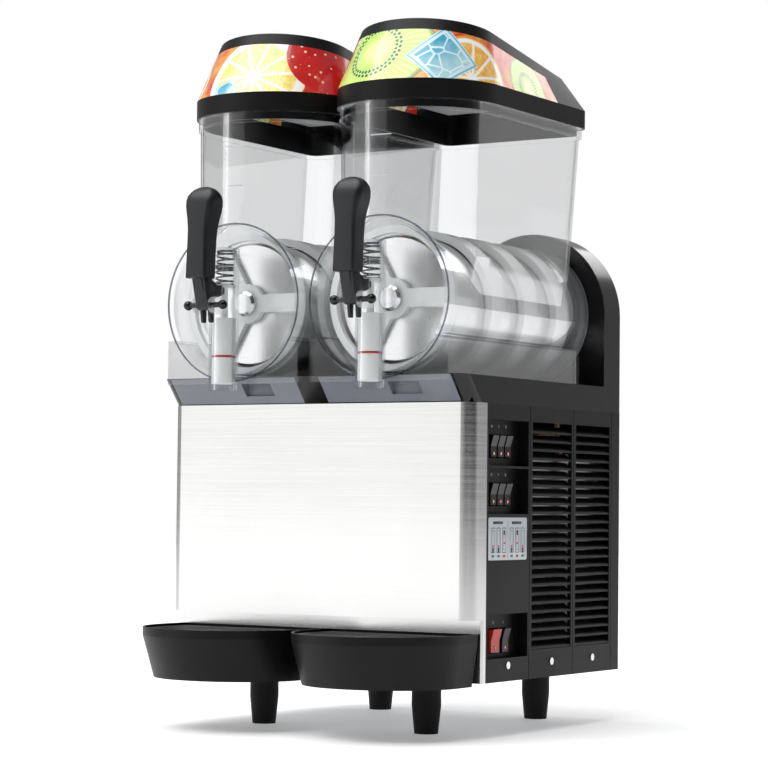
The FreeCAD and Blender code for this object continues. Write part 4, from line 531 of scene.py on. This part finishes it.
def make_rocker_marks():
    """A lit dot in a red ring, inlaid at the lower end of each rocker; small ring marks above the wells."""
    for name, y, z in ROCKERS:
        drop = 7.6
        face = panel_spot(name, y / 1000, (z - drop) / 1000)
        if face is None:
            continue
        mesh = bmesh.new()
        face *= 1000
        ring = [(y + a, z - drop + b) for a, b in rounded(2.3, 2.3, 2.25, 5)]
        prism(mesh, ring, face - 1.2, face + 0.35, 0, 0.25, 0)
        ring = [(y + a, z - drop + b) for a, b in rounded(1.25, 1.25, 1.2, 5)]
        prism(mesh, ring, face + 0.2, face + 0.6, 0, 0.15, 1)
        add_piece(name + "_lamp_dot", mesh, name, ROCKER_LAMP, ROCKER_GLOW)
    mesh = bmesh.new()
    for z in (331.5, 279.8, 121.5):
        spots = (-56.1, -40.5, -24.9) if z > 200 else (-49.5, -27.5)
        for index, y in enumerate(spots):
            floor = panel_spot("control_panel", y / 1000, z / 1000)
            if floor is None:
                continue
            lines = 3 if index % 2 else 6
            for turn in range(lines):
                angle = math.pi * turn / lines
                along = Vector((math.cos(angle), math.sin(angle))) * 1.9
                aside = Vector((-along.y, along.x)).normalized() * 0.22
                corners = (along + aside, aside - along, -along - aside, along - aside)
                outline = [(y + corner.x, z + corner.y) for corner in corners]
                prism(mesh, outline, floor * 1000 - 0.1, floor * 1000 + 0.15, 0, 0.02, 0)
    add_piece("switch_marks", mesh, "cabinet", MARK_GREY)


def make_fill_marks(side_name, x):
    """Moulded level lines on the hopper's front."""
    mesh = bmesh.new()
    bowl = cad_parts[side_name + "_bowl"]
    for z, half in ((0.640, 13.0), (0.596, 10.0), (0.552, 13.0)):
        columns = []
        for step in range(9):
            across = x + half / 1000 * (step / 4 - 1)
            hit, place, _, _ = bowl.ray_cast(Vector((across, -0.5, z)), Vector((0, 1, 0)))
            if hit:
                columns.append(place)
        section = ((-0.0006, -0.0005), (-0.0006, 0.0005), (0.0003, 0.0005), (0.0003, -0.0005))
        skin(mesh, [[(p.x, p.y + out, p.z + rise) for out, rise in section] for p in columns])
    add_piece(side_name + "_fill_marks", mesh, side_name + "_bowl_set", FILL_GREY)


def make_edge_ring(side_name, x):
    """The front plate's rim: a thin bead along its front edge, tinted dark as painted shade for the dark line
    seen at the clear plate's edge.
    """
    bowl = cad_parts[side_name + "_bowl"]
    start = Vector((x - PLATE_RADIUS + 0.004, -0.5, PLATE_AXIS_Z))
    _, rim_front, _, _ = bowl.ray_cast(start, Vector((0, 1, 0)))
    mesh = bmesh.new()
    rings = []
    steps = 144
    for step in range(steps + 1):
        angle = 2 * math.pi * step / steps
        outward = Vector((math.cos(angle), 0.0, math.sin(angle)))
        centre = Vector((x, rim_front.y, PLATE_AXIS_Z)) + (PLATE_RADIUS - 0.0008) * outward
        rings.append([centre + 0.0011 * (math.cos(spot) * outward + math.sin(spot) * Vector((0, 1, 0)))
                      for spot in (0.0, 1.05, 2.09, 3.14, 4.19, 5.24)])
    skin(mesh, rings)
    add_piece(side_name + "_plate_rim_bead_shade", mesh, side_name + "_bowl_set", RIM_PAINTED_SHADE)


SPRING_WIRE = brushed("spring_wire", (0.10, 0.10, 0.105), (0.20, 0.20, 0.21), 0.25, (0, 1), 0.03)
# painted shade: a dark clear tint for the bead on each front plate's edge, standing in for the dark line that
# edge shows
RIM_PAINTED_SHADE = clear("clear_edge", (0.50, 0.52, 0.56), (0.22, 0.23, 0.26), 0.5)
LEVER_PLASTIC = grain("lever_moulding", (0.006, 0.0065, 0.008), (0.010, 0.011, 0.013), 0.38, 1300.0, 0.14,
                      Specular_IOR_Level=0.35)
LABEL_PAPER = grain("label_film", (0.50, 0.545, 0.575), (0.56, 0.60, 0.63), 0.35, 600.0, 0.02)
LABEL_INK = grain("label_ink_black", (0.015, 0.015, 0.018), (0.03, 0.03, 0.034), 0.4, 600.0, 0.02)
LABEL_RED = grain("label_ink_red", (0.52, 0.02, 0.035), (0.60, 0.04, 0.05), 0.4, 600.0, 0.02)
LABEL_GREEN = grain("label_ink_green", (0.02, 0.16, 0.11), (0.03, 0.20, 0.14), 0.4, 600.0, 0.02)
ROCKER_LAMP = grain("rocker_lamp_ring", (0.55, 0.04, 0.03), (0.65, 0.07, 0.05), 0.2, 300.0, 0.02)
ROCKER_GLOW = grain("rocker_lamp_lens", (0.80, 0.74, 0.70), (0.88, 0.80, 0.76), 0.15, 300.0, 0.02)
MARK_GREY = grain("printed_marks", (0.20, 0.20, 0.21), (0.28, 0.28, 0.29), 0.4, 500.0, 0.02)
FILL_GREY = grain("frosted_marks", (0.48, 0.50, 0.52), (0.56, 0.58, 0.60), 0.5, 500.0, 0.1)

for node_name, material in (("left_lid_panel", lid_graphic("left")),
                            ("right_lid_panel", lid_graphic("right")), ("deck", deck_finish())):
    for node_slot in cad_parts[node_name].material_slots:
        node_slot.material = material
for side_name, x in BOWLS:
    make_lever(side_name, x)
    make_spring(side_name, x)
    make_fill_marks(side_name, x)
    make_edge_ring(side_name, x)
make_label()
make_rocker_marks()


# ---------- floor, light, camera ----------

def plain(name, color, roughness):
    made = Finish(name, color, roughness, Emission_Color=(*color, 1.0), Emission_Strength=0.30)
    cloud = made.noise(1.3, 2.0)
    made.vary(made.spread(cloud, 0.0, 1.0), color, tuple(part * 0.985 for part in color))
    return made.material


def stage_floor():
    sheet = bmesh.new()
    bmesh.ops.create_grid(sheet, x_segments=24, y_segments=24, size=9.0)
    mesh = bpy.data.meshes.new("studio_floor")
    sheet.to_mesh(mesh)
    floor = bpy.data.objects.new("studio_floor", mesh)
    mesh.materials.append(plain("studio_floor", (0.84, 0.84, 0.845), 0.6))
    bpy.context.scene.collection.objects.link(floor)


def area_light(name, at, aim, size, power):
    data = bpy.data.lights.new(name, "AREA")
    data.shape, data.size, data.size_y = "RECTANGLE", size[0], size[1]
    data.energy = power
    light = bpy.data.objects.new(name, data)
    light.location = at
    light.rotation_mode = "QUATERNION"
    light.rotation_quaternion = (Vector(aim) - Vector(at)).to_track_quat("-Z", "Y")
    bpy.context.scene.collection.objects.link(light)


def studio_world():
    """White to the camera; as light, softer, and dark on the front right, as by a black flag."""
    world = bpy.data.worlds.new("studio")
    bpy.context.scene.world = world
    world.use_nodes = True
    tree = world.node_tree
    new, link = tree.nodes.new, tree.links.new
    back = tree.nodes["Background"]
    toward = new("ShaderNodeTexCoord")
    dot = new("ShaderNodeVectorMath")
    dot.operation = "DOT_PRODUCT"
    dot.inputs[1].default_value = (0.80, -0.60, 0.0)
    flag = new("ShaderNodeMapRange")
    flag.inputs["From Min"].default_value, flag.inputs["From Max"].default_value = 0.35, 0.80
    flag.inputs["To Min"].default_value, flag.inputs["To Max"].default_value = 0.42, 0.02
    seen = new("ShaderNodeLightPath")
    pick = new("ShaderNodeMix")
    link(toward.outputs["Generated"], dot.inputs[0])
    link(dot.outputs["Value"], flag.inputs["Value"])
    link(flag.outputs["Result"], pick.inputs[2])
    link(seen.outputs["Is Camera Ray"], pick.inputs[0])
    pick.inputs[3].default_value = 1.0
    link(pick.outputs[0], back.inputs["Strength"])
    back.inputs["Color"].default_value = (1, 1, 1, 1)


def sun_light(aim, strength, angle):
    data = bpy.data.lights.new("overhead_silk", "SUN")
    data.energy, data.angle = strength, math.radians(angle)
    light = bpy.data.objects.new("overhead_silk", data)
    light.rotation_mode = "QUATERNION"
    light.rotation_quaternion = Vector(aim).to_track_quat("-Z", "Y")
    bpy.context.scene.collection.objects.link(light)


stage_floor()
studio_world()
sun_light((0.25, 0.35, -1.0), 3.3, 60)
area_light("softbox_front_left", (-2.2, -2.6, 1.15), (0, 0, 0.35), (2.4, 2.3), 18)
area_light("softbox_high_back", (0.3, 2.2, 2.0), (0, 0, 0.6), (1.6, 1.0), 14)

# the camera, as fitted to the photograph: how far it turns, looks up and rolls
turn, tilt, roll = math.radians(31.77), math.radians(-2.72), math.radians(0.60)
ahead = Vector((-math.sin(turn) * math.cos(tilt), math.cos(turn) * math.cos(tilt), -math.sin(tilt)))
side = Vector((math.cos(turn), math.sin(turn), 0.0))
above = side.cross(ahead)
level = math.cos(roll) * side + math.sin(roll) * above
upright = math.cos(roll) * above - math.sin(roll) * side
camera = bpy.data.objects.new("camera", bpy.data.cameras.new("camera"))
camera.data.lens, camera.data.sensor_width = 119.0, 36.0
camera.data.clip_start, camera.data.clip_end = 0.05, 60.0
camera.matrix_world = Matrix.Translation((1.51465, -2.42791, 0.24623)) @ Matrix(
    (level, upright, -ahead)).transposed().to_4x4()
bpy.context.scene.collection.objects.link(camera)
bpy.context.scene.camera = camera
bpy.context.scene.view_settings.view_transform = "Standard"
bpy.context.scene.cycles.transparent_max_bounces = 32
